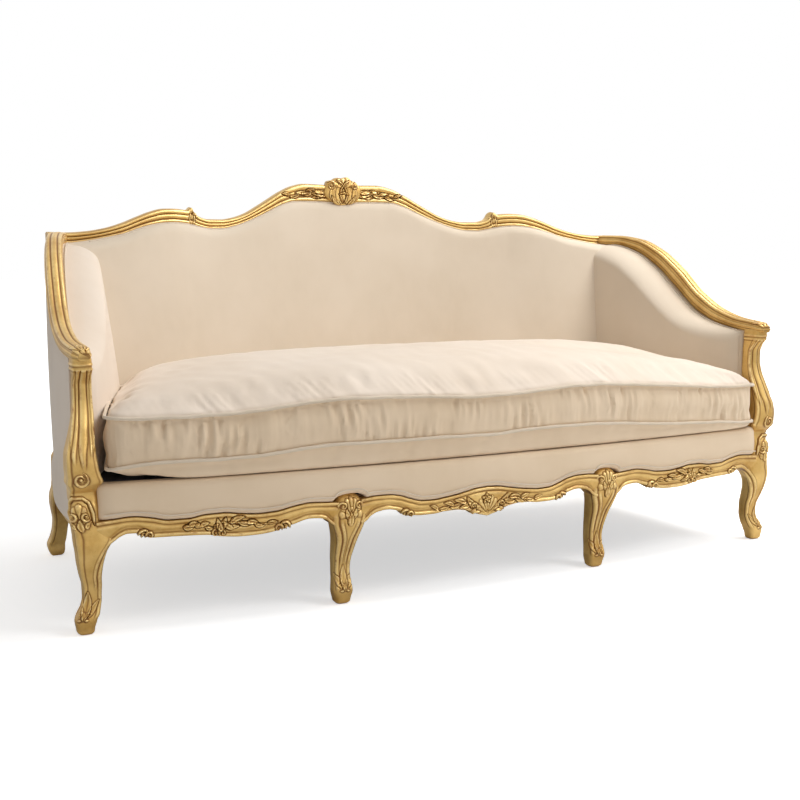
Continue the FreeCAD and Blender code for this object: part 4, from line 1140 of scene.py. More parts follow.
    def rear(self, side: int) -> Piece:
        """A rear corner leg with the upright of the back above it."""
        net, carving, bearing = self.loft((
            (0, 0, 0, 28, 28), (6, 0, 0, 38, 38), (28, 1, 4, 46, 46), (48, -4, -4, 42, 42),
            (76, -8, -15, 39, 39), (105, -9, -30, 41, 41), (133, -6, -48, 47, 47), (161, -4, -68, 55, 54),
            (190, -6, -88, 62, 60), (215, -9, -100, 60, 60), (290, -9, -102, 58, 58),
            (312, -9, -101, 42, 42), (600, -14, -71, 42, 42), (853, -20, -40, 42, 42)), (901, 348), side, 5.0)
        for at in (45, 135):
            self.mould(carving, bearing, at, 9, 1.6, 30, 230)
        return self.gild(f"{hand(side)}_rear_cabriole_leg", net, carving, f"{hand(side)}_rear_leg")

    def rear_inner(self, side: int) -> Piece:
        """An inner rear leg."""
        net, carving, bearing = self.loft((
            (0, 0, 0, 28, 28), (6, 0, 0, 38, 38), (30, 0, 3, 45, 46), (50, 0, -6, 42, 42), (76, 0, -18, 39, 39),
            (105, 0, -32, 40, 40), (140, 0, -53, 45, 45), (185, 0, -78, 47, 47), (224.5, 0, -96, 40, 40)),
            (366, 425), side, 5.0)
        for at in (135, -135):
            self.mould(carving, bearing, at, 9, 1.4, 30, 215)
        return self.gild(f"{hand(side)}_inner_rear_cabriole_leg", net, carving, f"{hand(side)}_inner_rear_leg")

    def build(self) -> None:
        """Makes the eight legs."""
        for side in (-1, 1):
            for leg in (self.corner, self.inner, self.rear, self.rear_inner):
                leg(side)


# ---- Arm posts and arm rails ----


@dataclass
class GildedArms(LeggedFrame):
    """The scrolled posts and the moulded rails that sweep up to the back."""

    def post(self, side: int) -> Piece:
        """An arm post: reeded neck, swelling base with a volute on its face."""
        net, carving, bearing = self.loft((
            (299, 6, -9, 61, 62), (316, 7, -5, 60, 61), (328, 7, -12, 62, 68), (341, 6, -18, 76, 76),
            (354, 8, -20, 70, 78), (373, 11, -20, 66, 77), (400, 12, -17, 62, 72), (424, 9, -11, 55, 65),
            (454, 5, -4, 46, 55), (490, 1, 4, 40, 42), (520, 0, 7, 37, 36), (548, 0, 7, 37, 36),
            (572, 0, -1, 38, 48), (588, 1, -8, 43, 60), (604, 1, -9, 42, 62), (612, 1, -9, 38, 56)),
            (948, -345), side, 4.2)
        z = carving.up
        fan = 1 + 0.5 * smooth(540, 420, z)
        for place, wide, rise, foot in ((-15, 4.4, 3.0, 388), (-1, 7.8, 4.4, 366), (13, 5.0, 3.4, 378)):
            away = np.abs(carving.across - place * fan)
            narrow = np.clip((z - foot) / 60, 0.05, 1) ** 0.5
            fade = smooth(foot, foot + 22, z) * (1 - smooth(580, 586, z))
            reach = wide * fan * 0.95 * narrow
            carving.height += fade * rise * half_round(away / reach)
            # Glaze and painted shade in the grooves beside the reeds.
            carving.darken(0.45 * fade * bell(away - reach - 0.8, 1.5))
        self.mould(carving, bearing, 50, 9, 2.6, 302, 590)
        self.mould(carving, bearing, -50, 9, 2.6, 330, 590)
        self.arch(carving)
        carving.scroll((11, 350), 15, 120, 560, 2.6, 4.2)
        for level in (584, 594):
            carving.height += 1.8 * bell(z - level, 2.2)
            # Glaze and painted shade in the groove just under each ring.
            carving.darken(0.7 * bell(z - level + 4, 1.2))
        return self.gild(f"{hand(side)}_scrolled_post", net, carving, f"{hand(side)}_arm_post")

    def rail(self, side: int) -> Piece:
        """An arm rail: a moulded band with beads along both edges."""
        thick, square, nose_y, butt_y = 0.020, 3.4, -0.398, 0.284
        y = np.linspace(nose_y, butt_y, 420)[:, None]
        top, low = through(ARM_TOP, y), through(ARM_LOW, y)
        nose = smooth(nose_y, -0.372, y)
        turn = full_turn(96)
        aside, lift = np.sin(turn), np.cos(turn)
        reach = (np.abs(aside) ** square + np.abs(lift) ** square) ** (-1 / square)
        slope = np.gradient((top + low) / 2, axis=0) / np.gradient(y, axis=0)
        steep = np.sqrt(1 + slope ** 2)
        shift = (top - low) / 2 / steep * (0.55 + 0.45 * nose) * lift * reach
        x = arm_line(y) - thick + thick * (0.6 + 0.4 * nose) * aside * reach
        net = laid(side * x, y - shift * slope / steep, (top + low) / 2 + shift / steep)
        around = either_way(np.broadcast_to(np.degrees(turn), net.shape[:2]))
        carving = Carving(around * 0.36, np.broadcast_to(y / MM, net.shape[:2]).copy())
        for at, size, rise in ((2, 20, 3.0), (42, 13, 3.2), (-38, 13, 3.2), (88, 18, 2.2), (-88, 16, 2.0)):
            away = apart(around, at)
            carving.height += rise * half_round(away / size)
            # Glaze and painted shade in the grooves beside the beads.
            carving.darken(0.42 * bell(away - size * 1.1, 4.0))
        carving.leaf((0, -388), 46, 90, 10, 3.0)
        for turn in (-1, 1):
            carving.leaf((turn * 8, -384), 34, 90 - turn * 10, 6, 2.6, -turn * 18)
        return self.gild(f"{hand(side)}_moulded_arm", net, carving, f"{hand(side)}_arm_rail")

    def build(self) -> None:
        """Makes both posts and both rails."""
        for side in (-1, 1):
            self.post(side)
            self.rail(side)


# ---- The crest ----


@dataclass
class Crest(Maker):
    """The bowed crest in three lengths, with sprays, notch clasps and a shell cartouche.

    Attributes:
        deep: from the face to the back.
        joint: x where two lengths meet.
        end: x of the crest's ends.
        face: points up the carved face.
        plain: tone of the uncarved sides.
    """

    deep: float = 0.040
    joint: float = 0.495
    end: float = 0.902
    face: int = 34
    plain: float = 0.46

    def length(self, start: float, end: float) -> tuple[Array, Carving, Array]:
        """Lays out one length of the crest.

        Args:
            start: x of its left end.
            end: x of its right end.

        Returns:
            Its closed net, its carving, and which points face forward.
        """
        x = np.linspace(start, end, int((end - start) / 0.0014))[:, None]
        side = np.abs(x)
        peak = 0.011 * bell(side - self.joint, 0.008)
        top, low = through(CREST_TOP, side) + peak, through(CREST_LOW, side)
        z = low + (top - low) * np.linspace(0, 1, self.face)[None, :]
        over = np.linspace(0.15, 0.85, 6)[None, :]
        back_z = low + (top - low) * np.linspace(1, 0, 8)[None, :]
        net = np.concatenate([
            laid(x, crest_line(x, z), z),
            laid(x, crest_line(x, top) + self.deep * over, top + 0.004 * np.sin(np.pi * over)),
            laid(x, crest_line(x, back_z) + self.deep, back_z)], axis=1)
        on_face = leading(net, self.face)
        carving = Carving(net[..., 0] / MM, net[..., 2] / MM)
        share = np.where(on_face, (net[..., 2] - low) / (top - low), 1.0)
        for at, size, rise in ((0.84, 0.17, 5.4), (0.50, 0.17, 3.4), (0.13, 0.13, 4.8)):
            away = np.abs(share - at)
            carving.height += rise * half_round(away / size)
            # Glaze and painted shade in the grooves between the mouldings.
            carving.darken(0.45 * bell(away - size * 1.05, 0.05))
        return net, carving, on_face

    def clasp(self, carving: Carving, side: int) -> None:
        """The carved curl at a joint between two lengths."""
        middle = side * 495
        for shift in (-8, 8):
            path = [(middle + shift * 0.3, 905), (middle + shift, 922), (middle + shift * 0.4, 946)]
            carving.rod(np.array(path), 2.1, 3.0, 0.2, 0.2)
        carving.scroll((side * 488, 938), 6, 90, side * 400, 1.7, 3.2)

    def cartouche(self) -> Piece:
        """The shell at the middle: two crossed leaves in a ruffled frame."""
        wide, low, high = 0.065, 0.969, 1.0575
        rows, columns = 150, 170
        around = full_turn(columns)
        share = np.linspace(0, 1, rows)[:, None]
        ruffle = 1 + 0.045 * np.sin(around * 11) * smooth(0.2, 0.9, np.sin(around)) + 0.03 * np.sin(around * 6)
        reach = np.sin(share * math.pi / 2)
        x = wide * reach * np.cos(around) * ruffle * 0.93
        z = (low + high) / 2 + (high - low) / 2 * reach * np.sin(around) * ruffle * 0.95
        dome = 0.013 * np.sqrt(np.clip(1 - (share * 0.97) ** 3, 0, 1))
        front = laid(x, crest_line(x, z) - 0.002 - dome, z)
        carving = Carving(front[..., 0] / MM, front[..., 2] / MM)
        for side in (1, -1):
            carving.leaves(side, (15, 976, 66, 14, 17, 2.6, -20), (30, 984, 44, -34, 9, 3.6, 56))
            carving.scroll((side * 40, 1031), 14, 90 - side * 60, side * 420, 3.2, 4.6)
            carving.leaves(side, (12, 972, 40, -66, 6.0, 4.6, 44))
        carving.shell((0, 1020), 36, 36, 5.2, flutes=5, spread=150)
        for side in (1, -1):
            path = np.array([(-20, 1046), (-5, 1036), (8, 1018), (11, 998), (3, 978)], float)
            carving.rod(path * (side, 1), 2.6, 4.8, 0.1, 0.1)
        carving.rod(np.array([(-15, 1004), (0, 1009), (16, 1002)], float), 2.4, 5.2, 0.1, 0.1)
        carving.height *= (1 - smooth(0.90, 1.0, share))
        out = with_axis(front, 1, front[..., 1] - carving.height * MM)
        rim = out[-1:]
        back = with_axis(rim, 1, crest_line(rim[..., 0], rim[..., 2]) + 0.010 * (rim[..., 2] > 1.032))
        net = np.concatenate([out, back], axis=0)
        tone = np.concatenate([carving.tone(), np.full((1, columns), 0.52)], axis=0)
        return self.fit(skin("crest_cartouche", net, carve=tone), self.finishes.gilding, "gilded_wood",
                        "crest_shell")

    def build(self) -> None:
        """Makes the three lengths and the cartouche."""
        for place, start, end in (("left", -self.end, -self.joint), ("centre", -self.joint, self.joint),
                                  ("right", self.joint, self.end)):
            net, carving, on_face = self.length(start, end)
            for side in (-1, 1):
                self.clasp(carving, side)
                carving.spray((side * 62, 1004), side, 132, 8.0, seed=31 + side)
                carving.leaves(side, (56, 998, 48, -70, 9.0, 8.0, -20), (58, 1010, 40, -96, 7.0, 7.0, 24))
            self.gild(f"{place}_crest", net, carving, f"{place}_crest_rail", on_face, self.plain)
        self.cartouche()


# ---- Upholstery ----


@dataclass
class Upholstery(Maker):
    """Tight padding of the back, arms and front border, with braid along the gilded edges.

    Attributes:
        edge: how far below the crest the inside back has rolled over.
        arm_edge: how far below an arm rail the inside arm has.
        wall: from an arm rail's outer face in to the padding's wall.
        arm_front: y where the inside arm starts behind its post.
        arm_depth: from there to its end at the back.
        cover_front: y where the outside arm cover starts.
        cover_depth: from there to its end.
        roll: radius of the border's upper edge.
        braid: radius of the braid.
    """

    edge: float = 0.030
    arm_edge: float = 0.045
    wall: float = 0.036
    arm_front: float = -0.322
    arm_depth: float = 0.568
    cover_front: float = -0.318
    cover_depth: float = 0.544
    roll: float = 0.017
    braid: float = 0.0017

    def pad(self, name: str, front: Array, rear: Array, fill: float, cloth: Material, *replaced: str,
            slot: str = "cream_fabric") -> Piece:
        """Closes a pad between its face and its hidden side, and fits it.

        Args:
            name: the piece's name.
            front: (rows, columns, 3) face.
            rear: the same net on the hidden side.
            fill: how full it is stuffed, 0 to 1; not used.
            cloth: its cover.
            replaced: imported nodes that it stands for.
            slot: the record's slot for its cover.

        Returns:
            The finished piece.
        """
        piece = skin(name, np.concatenate([front, rear[:, ::-1]], axis=1), angle=60)
        return self.fit(piece, cloth, slot, *replaced)

    def inside_back(self) -> Piece:
        """The padded inside back: full in the middle, rolled over at the crest."""
        x = np.linspace(-0.872, 0.872, 300)[:, None]
        low, high = 0.334, through(CREST_LOW, np.abs(x)) + 0.004
        share = np.linspace(0, 1, 90)[None, :] ** 0.9
        z = low + (high - low) * share
        rolled = half_round(1 - np.clip((high - z) / self.edge, 0, 1))
        puff = -0.006 * np.sin(np.pi * np.clip(share, 0, 1)) * (1 - (x / 0.9) ** 4)
        wall = crest_line(x, z) + 0.006
        front = laid(x, wall + (np.minimum(pad_line(x, z) + puff, wall - 0.004) - wall) * rolled, z)
        # The darker back pile here is painted shade.
        return self.pad("inside_back_padding", front, with_axis(front, 1, crest_line(x, z) + 0.009), 0.9,
                        self.finishes.back, "inside_back_cover", "back_pad")

    def inside_arm(self, side: int) -> Piece:
        """The padded inside of an arm; the right one gets the darker back pile, painted shade for its face
        turned from the light.
        """
        y = np.linspace(self.arm_front, 0.246, 150)[:, None]
        low, high = 0.338, through(ARM_LOW, y) + 0.003
        share = np.linspace(0, 1, 80)[None, :] ** 0.9
        z = low + (high - low) * share
        wall = arm_line(y) - self.wall
        rolled = (half_round(1 - np.clip((high - z) / self.arm_edge, 0, 1))
                  * half_round(1 - np.clip((y - self.arm_front) / 0.030, 0, 1)))
        belly = 0.005 * np.sin(np.pi * share) * np.sin(np.pi * (y - self.arm_front) / self.arm_depth)
        front = laid(side * (wall + (arm_pad_line(y, z) - belly - wall) * rolled), y, z)
        rear = with_axis(front, 0, side * (wall + 0.004))
        # Painted shade: the right inside arm takes the darker back pile.
        pile = self.finishes.back if side > 0 else self.finishes.cream
        return self.pad(f"{hand(side)}_inside_arm_padding", front, rear, 0.85, pile,
                        f"{hand(side)}_inside_arm_cover", f"{hand(side)}_arm_pad")

    def outside_arm(self, side: int) -> Piece:
        """The stretched cover on the outside of an arm, from its rail down over the seat's side rail."""
        y = np.linspace(self.cover_front, 0.226, 120)[:, None]
        high = through(ARM_LOW, y) + 0.002
        along = np.clip((y - self.cover_front) / self.cover_depth, 0, 1)
        low = 0.236 - 0.010 * np.sin(np.pi * (y - self.cover_front) / self.cover_depth)
        z = low + (high - low) * np.linspace(0, 1, 80)[None, :]
        share = np.clip((z - low) / (high - low), 0, 1)
        puff = 0.006 * np.sin(np.pi * share) ** 0.7 * np.sin(np.pi * along) ** 0.5
        part = np.clip((y + 0.326) / 0.542, 0, 1)
        seat_side = 0.960 - 0.042 * part + 4 * 0.020 * part * (1 - part) + 0.0035
        rail_side = arm_line(y) - 0.006
        x = np.maximum(rail_side, seat_side + (rail_side - seat_side) * smooth(0.29, 0.34, z)) + puff
        y = self.cover_front + (y - self.cover_front) * (1 + 0.21 * np.maximum(z - 0.312, 0))
        front = laid(side * x, y, z)
        rear = with_axis(front, 0, side * (x - puff - 0.0032))
        return self.pad(f"{hand(side)}_outside_arm", front, rear, 0.95, self.finishes.cream,
                        f"{hand(side)}_outside_arm_cover")

    def outside_back(self) -> Piece:
        """The stretched cover on the outside of the back, down over the rear rail."""
        low = 0.229
        x = np.linspace(-0.868, 0.868, 240)[:, None]
        high = through(CREST_LOW, np.abs(x)) + 0.003
        z = low + (high - low) * np.linspace(0, 1, 90)[None, :]
        y = crest_line(x, np.maximum(z, FRAME_TOP)) + 0.0375 + 0.006 * (1 - smooth(FRAME_TOP, 0.335, z))
        front = laid(x, y, z)
        return self.pad("outside_back", front, with_axis(front, 1, front[..., 1] - 0.003), 0.95,
                        self.finishes.back, "outside_back_cover")

    def deck(self) -> Piece:
        """The padded deck under the loose cushion, in dark lining."""
        half, rim = 0.905, 0.06
        x = np.linspace(-half, half, 200)[:, None]
        share = np.linspace(0, 1, 60)[None, :]
        front_y = front_line(x) + 0.016
        rear_y = np.minimum(pad_line(x, 0.33) + 0.030, 0.25)
        edge = np.minimum(1.0, np.minimum(share, 1 - share) / rim) * np.minimum(1.0, (half - np.abs(x)) / rim)
        top = laid(x, front_y + (rear_y - front_y) * share, 0.3305 + 0.0018 * half_round(1 - edge))
        return self.pad("padded_deck", top, with_axis(top, 2, 0.3085), 0.95, self.finishes.lining,
                        "seat_deck_cover", "seat_deck_pad", slot="dark_lining")

    def border_edge(self, x: Array) -> Array:
        """Lower edge of the padded border: over the rails, arching over the inner legs' shells."""
        side = np.abs(x)
        arch = 0.017 * np.clip(1 - ((side - 0.364) / 0.041) ** 2, 0, 1) ** 0.6
        return through(RAIL_TOP, side) + 0.0005 + arch

    def border(self) -> Piece:
        """The padded border between the front rail and the deck."""
        up, back = 0.62, 0.6
        x = np.linspace(-0.928, 0.928, 500)[:, None]
        low = self.border_edge(x)
        share = np.linspace(0, 1, 60)[None, :]
        rise = np.clip(share / up, 0, 1)
        over = np.clip((share - up) / 0.38, 0, 1)
        bend = np.pi / 2 * np.clip(over / back, 0, 1)
        z = low + (0.3342 - self.roll - low) * rise + self.roll * np.sin(bend)
        tuck = 0.012 * (1 - half_round(1 - np.clip((z - low) / 0.010, 0, 1)))
        ends = 0.016 * (1 - half_round(np.clip((np.abs(x) - 0.893) / 0.036, 0, 1)))
        belly = -0.0035 - 0.0035 * np.sin(np.pi * rise)
        y = (front_line(x) + belly + tuck + ends + self.roll * (1 - np.cos(bend))
             + 0.020 * np.clip((over - back) / 0.4, 0, 1))
        front = laid(x, y, z)
        rear = with_axis(with_axis(front, 1, front_line(x) + 0.042), 2, low + (0.3325 - low) * share)
        # The darker boxing pile here is painted shade.
        return self.pad("front_border_padding", front, rear, 0.9, self.finishes.boxing,
                        "front_border_cover", "front_border_pad")

    def cord(self, name: str, path: Array, radius: float, *replaced: str,
             shift: Triple = (0.0, 0.0, 1.0)) -> Piece:
        """A braid along a path, closed at both ends, in the darker pile.

        Args:
            name: the piece's name.
            path: (count, 3) points.
            radius: of the braid.
            replaced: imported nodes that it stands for.
            shift: direction that its ring is laid out from.

        Returns:
            The finished braid.
        """
        along = np.gradient(path, axis=0)
        along /= np.linalg.norm(along, axis=1, keepdims=True)
        one = np.cross(along, np.array(shift))
        one /= np.maximum(np.linalg.norm(one, axis=1, keepdims=True), 1e-9)
        two = np.cross(along, one)
        turn = full_turn(10)[..., None]
        ring = (np.cos(turn) * one[:, None, :] + np.sin(turn) * two[:, None, :]) * radius
        piece = skin(name, path[:, None, :] + ring, angle=80)
        return self.fit(piece, self.finishes.back, "self_trim", *replaced)

    def braids(self) -> None:
        """The self-fabric braid along the border, under the crest and round each inside arm."""
        x = np.linspace(-0.921, 0.921, 900)
        path = np.stack([x, front_line(x) - 0.0078, self.border_edge(x) + 0.0125], axis=1)
        self.cord("border_braid", path, 0.0016, "front_border_gimp")
        x = np.linspace(-0.80, 0.80, 700)
        z = through(CREST_LOW, np.abs(x)) - 0.0005
        wall = crest_line(x, z) + 0.006
        y = wall + (pad_line(x, z) - wall) * math.sqrt(1 - (1 - 0.0045 / self.edge) ** 2) - 0.0008
        self.cord("crest_braid", np.stack([x, y, z], axis=1), self.braid)
        for side in (1, -1):
            y = np.linspace(-0.300, 0.225, 260)
            wall, high = arm_line(y) - self.wall, through(ARM_LOW, y) + 0.003
            roll = 0.010 / (wall - arm_pad_line(y, high))
            z = high - self.arm_edge * (1 - np.sqrt(1 - roll ** 2)) + 0.0006
            self.cord(f"{hand(side)}_arm_braid", np.stack([side * (wall - 0.010), y, z], axis=1), self.braid)
            z = np.linspace(0.350, 0.592, 120)
            y = np.full(z.shape, -0.316)
            wall = arm_line(y) - self.wall
            x = wall + (arm_pad_line(y, z) - wall) * math.sqrt(1 - (1 - 0.006 / 0.030) ** 2) - 0.0010
            self.cord(f"{hand(side)}_front_braid", np.stack([side * x, y, z], axis=1), self.braid,
                      shift=(0.0, 1.0, 0.0))

    def build(self) -> None:
        """Makes every tight-covered part."""
        self.inside_back()
        for side in (-1, 1):
            self.inside_arm(side)
            self.outside_arm(side)
        self.outside_back()
        self.border()
        self.deck()
        self.braids()


# ---- The loose seat cushion ----

UPPER_SEAM = [
    (-0.915, 0.481), (-0.84, 0.476), (-0.755, 0.476), (-0.657, 0.477), (-0.573, 0.482), (-0.509, 0.489),
    (-0.438, 0.495), (-0.353, 0.498), (-0.24, 0.495), (-0.135, 0.490), (-0.03, 0.485), (0.044, 0.485),
    (0.146, 0.490), (0.253, 0.496), (0.348, 0.495), (0.465, 0.487), (0.606, 0.476), (0.756, 0.464),
    (0.915, 0.458)]
LOWER_SEAM = [
    (-0.915, 0.366), (-0.89, 0.370), (-0.79, 0.378), (-0.692, 0.378), (-0.603, 0.378), (-0.533, 0.383),
    (-0.47, 0.390), (-0.415, 0.393), (-0.329, 0.392), (-0.235, 0.392), (-0.148, 0.392), (-0.05, 0.390),
    (0.024, 0.390), (0.118, 0.394), (0.209, 0.396), (0.303, 0.394), (0.434, 0.387), (0.574, 0.375),
    (0.75, 0.366), (0.862, 0.357), (0.915, 0.355)]


@dataclass
class SeatCushion(Maker):
    """A long feather cushion: crowned, gathered along its boxing, welted at both seams.

    Attributes:
        half: half its width at the front.
        rear_half: half its width at the back.
        front: front corners' y.
        rear: rear corners' y.
        base: height of its underside.
        crown: height of its fullest part.
        voxel: mesh size that its cover starts from.
        steps: frames that it is filled for.
        swell: most that filling moves a point.
        cord: radius of a welt.
    """

    half: float = 0.912
    rear_half: float = 0.757
    front: float = -0.408
    rear: float = 0.104
    base: float = 0.3350
    crown: float = 0.572
    voxel: float = 0.0085
    steps: int = 14
    swell: float = 0.012
    cord: float = 0.0041

    def outline(self, count: int) -> tuple[Array, Array]:
        """The seam's plan: bowed front and back, drawn-in sides, small round corners.

        Args:
            count: how many points.

        Returns:
            Points (count, 2), and their outward normals.
        """
        front_x = np.linspace(-self.half + 0.02, self.half - 0.02, 400)
        front_y = self.front - 0.056 * (1 - (front_x / self.half) ** 2)
        rear_x = np.linspace(self.rear_half - 0.02, -self.rear_half + 0.02, 340)
        rear_y = self.rear + 0.140 * (1 - (rear_x / self.rear_half) ** 2)
        side = np.linspace(0.03, 0.97, 120)
        side_x = self.half + (self.rear_half - self.half) * side + 0.012 * np.sin(np.pi * side)
        side_y = self.front + (self.rear - self.front) * side
        path = np.concatenate([np.stack([front_x, front_y], 1), np.stack([side_x, side_y], 1),
                               np.stack([rear_x, rear_y], 1), np.stack([-side_x[::-1], side_y[::-1]], 1)])
        closed = np.concatenate([path, path[:1]])
        lengths = np.concatenate([[0], np.cumsum(np.linalg.norm(np.diff(closed, axis=0), axis=1))])
        even = np.linspace(0, lengths[-1], count, endpoint=False)
        points = np.stack([np.interp(even, lengths, closed[:, axis]) for axis in (0, 1)], 1)
        for _ in range(max(2, count // 120)):
            points = (np.roll(points, 1, 0) + points * 2 + np.roll(points, -1, 0)) / 4
        heading = np.roll(points, -1, 0) - np.roll(points, 1, 0)
        normal = np.stack([heading[:, 1], -heading[:, 0]], 1)
        return points, normal / np.linalg.norm(normal, axis=1, keepdims=True)

    def seam(self, upper: bool, x: Array, y: Array) -> Array:
        """Height of a seam: wavy along the front, even round the sides and the back.

        Args:
            upper: the upper seam, or else the lower.
            x: places across.
            y: places in depth.

        Returns:
            The seam's heights.
        """
        front = through(UPPER_SEAM if upper else LOWER_SEAM, x)
        return front + ((0.484 if upper else 0.370) - front) * smooth(-0.30, -0.05, y)

    def floor(self, x: Array, y: Array) -> Array:
        """Height of the underside: the front corners lift off the deck, the left one more."""
        lift = 0.017 * smooth(0.70, 0.91, -x) + 0.004 * smooth(0.80, 0.91, x)
        return self.base + lift * smooth(-0.15, -0.36, y)

    def lean(self, y: Array, z: Array) -> Array:
        """How far the cushion leans back against the inside back, at a depth and height."""
        return 0.25 * (z - self.base) * smooth(-0.05, 0.12, y)

    def body_net(self) -> Array:
        """The cushion before it is filled: rings from the middle of the base up to the crown."""
        points, normal = self.outline(560)
        centre = np.array([0.0, -0.150])
        low, high = self.seam(False, *points.T), self.seam(True, *points.T)
        base = self.floor(*points.T)
        net = []

        def ring(inset: float, share: float, z: Array) -> None:
            """Adds a ring inset along the normals, then drawn in to the middle by a share."""
            plan = points - normal * inset
            plan = centre + (plan - centre) * np.array([1 - share * 0.66, 1 - share])
            net.append(np.stack([plan[:, 0], plan[:, 1] + self.lean(plan[:, 1], z), z], 1))

        for share in (0.97, 0.75, 0.5, 0.25, 0.1):
            ring(0.022, share, base + (self.base - base) * min(1.0, 2.5 * share))
        for inset, rise in ((0.022, 0.0), (0.013, 0.03), (0.006, 0.14), (0.0, 0.42), (-0.004, 0.72)):
            ring(inset, 0.0, base + (low - base) * rise)
        for share in (0.0, 0.12, 0.3, 0.5, 0.7, 0.88, 1.0):
            ring(-0.005 * math.sin(math.pi * share), 0.0, low + (high - low) * share)
        for share in (0.02, 0.05, 0.10, 0.17, 0.27, 0.40, 0.56, 0.76, 0.97):
            rise = (1 - (1 - share) ** 2.6) ** 0.60
            corner = smooth(0.38, 0.96, np.abs(points[:, 0])) * smooth(0.06, -0.44, points[:, 1])
            level = high + (self.crown - high) * rise * (1 - 0.46 * corner * (1 - share) ** 0.8)
            dip = 0.012 * smooth(0.0, 0.22, points[:, 1]) * math.sin(math.pi * min(1, share * 1.6))
            ring(0.0, share, level - dip)
        return np.array(net)

    def filled(self) -> Piece:
        """The cushion's cover, inflated as cloth and then gathered."""
        piece = skin("seat_cushion_cover", self.body_net(), angle=80)
        apply_modifier(piece, "REMESH", mode="VOXEL", voxel_size=self.voxel)
        start = read(piece.data.vertices, "co")
        self.inflate(piece)
        move = read(piece.data.vertices, "co") - start
        reach = np.linalg.norm(move, axis=1, keepdims=True)
        places = start + move * np.minimum(1.0, self.swell / np.maximum(reach, 1e-9))
        gap, _ = self.rim(start)
        for upper in (False, True):
            near = bell(start[:, 2] - self.seam(upper, start[:, 0], start[:, 1]), 0.012)
            places += (start - places) * (near * smooth(0.030, 0.012, gap))[:, None]
        under = smooth(self.base + 0.022, self.base + 0.004, start[:, 2])[:, None]
        places += (start - places) * under
        self.place(piece, places)
        apply_modifier(piece, "SMOOTH", factor=0.5, iterations=2)
        self.refine(piece)
        self.place(piece, self.gathered(piece))
        facing_out(piece)
        bpy.ops.object.shade_smooth()
        self.fit(piece, self.finishes.cream, "cream_fabric", "cushion_cover", "cushion_core", body=Body.CUSHION)
        self.painted_shade_sides(piece)
        return piece

    def refine(self, piece: Piece) -> None:
        """Halves the mesh round the boxing and both seams, where the gathers are."""
        centres = read(piece.data.polygons, "center")
        gap, _ = self.rim(centres)
        wanted = (gap < 0.055) & (centres[:, 2] > self.seam(False, centres[:, 0], centres[:, 1]) - 0.014)
        select_only(piece)
        settings = bpy.context.tool_settings
        settings.mesh_select_mode = (False, False, True)
        bpy.ops.object.mode_set(mode="EDIT")
        bpy.ops.mesh.select_all(action="DESELECT")
        bpy.ops.object.mode_set(mode="OBJECT")
        piece.data.polygons.foreach_set("select", wanted)
        bpy.ops.object.mode_set(mode="EDIT")
        bpy.ops.mesh.subdivide(number_cuts=1)
        settings.mesh_select_mode = (True, False, False)
        bpy.ops.object.mode_set(mode="OBJECT")
        apply_modifier(piece, "SMOOTH", factor=0.5, iterations=1)

    def painted_shade_sides(self, piece: Piece) -> None:
        """Gives the boxing and the underside the darker boxing pile: painted shade for the cushion's sides and
        underside against its lit top.
        """
        # Painted shade: every face below the upper seam gets the darker pile.
        piece.data.materials.append(self.finishes.boxing)
        x, y, z = read(piece.data.polygons, "center").T
        piece.data.polygons.foreach_set("material_index", (z < self.seam(True, x, y)).astype(np.int32))

    def rim(self, places: Array) -> tuple[Array, Array]:
        """Nearest place on the seam's plan line for each point.

        Args:
            places: (count, 3) points.

        Returns:
            Distance in plan, and distance along the seam line.
        """
        points, _ = self.outline(720)
        pace = np.linalg.norm(points[1] - points[0])
        gaps, along = np.empty(len(places)), np.empty(len(places))
        batch = 20000
        for first in range(0, len(places), batch):
            part = slice(first, first + batch)
            square = ((places[part, None, :2] - points[None, :, :]) ** 2).sum(axis=2)
            nearest = square.argmin(axis=1)
            gaps[part] = np.sqrt(square[np.arange(len(nearest)), nearest])
            along[part] = nearest * pace
        return gaps, along

    def place(self, piece: Piece, places: Array) -> None:
        """Writes a piece's points."""
        piece.data.vertices.foreach_set("co", places.astype(np.float32).ravel())
        piece.data.update()

    def inflate(self, piece: Piece) -> None:
        """Fills the cover by a cloth simulation with pressure and no gravity."""
        select_only(piece)
        cloth = piece.modifiers.new("Cloth", "CLOTH")
        for key, value in {"quality": 4, "mass": 0.3, "use_pressure": True, "uniform_pressure_force": 4.0,
                           "tension_stiffness": 12.0, "bending_stiffness": 0.4}.items():
            setattr(cloth.settings, key, value)
        cloth.settings.effector_weights.gravity = 0.0
        cloth.collision_settings.use_collision = False
        cloth.point_cache.frame_start = 1
        cloth.point_cache.frame_end = self.steps
        for step in range(1, self.steps + 1):
            bpy.context.scene.frame_set(step)
        bpy.ops.object.modifier_apply(modifier=cloth.name)
        bpy.context.scene.frame_set(1)

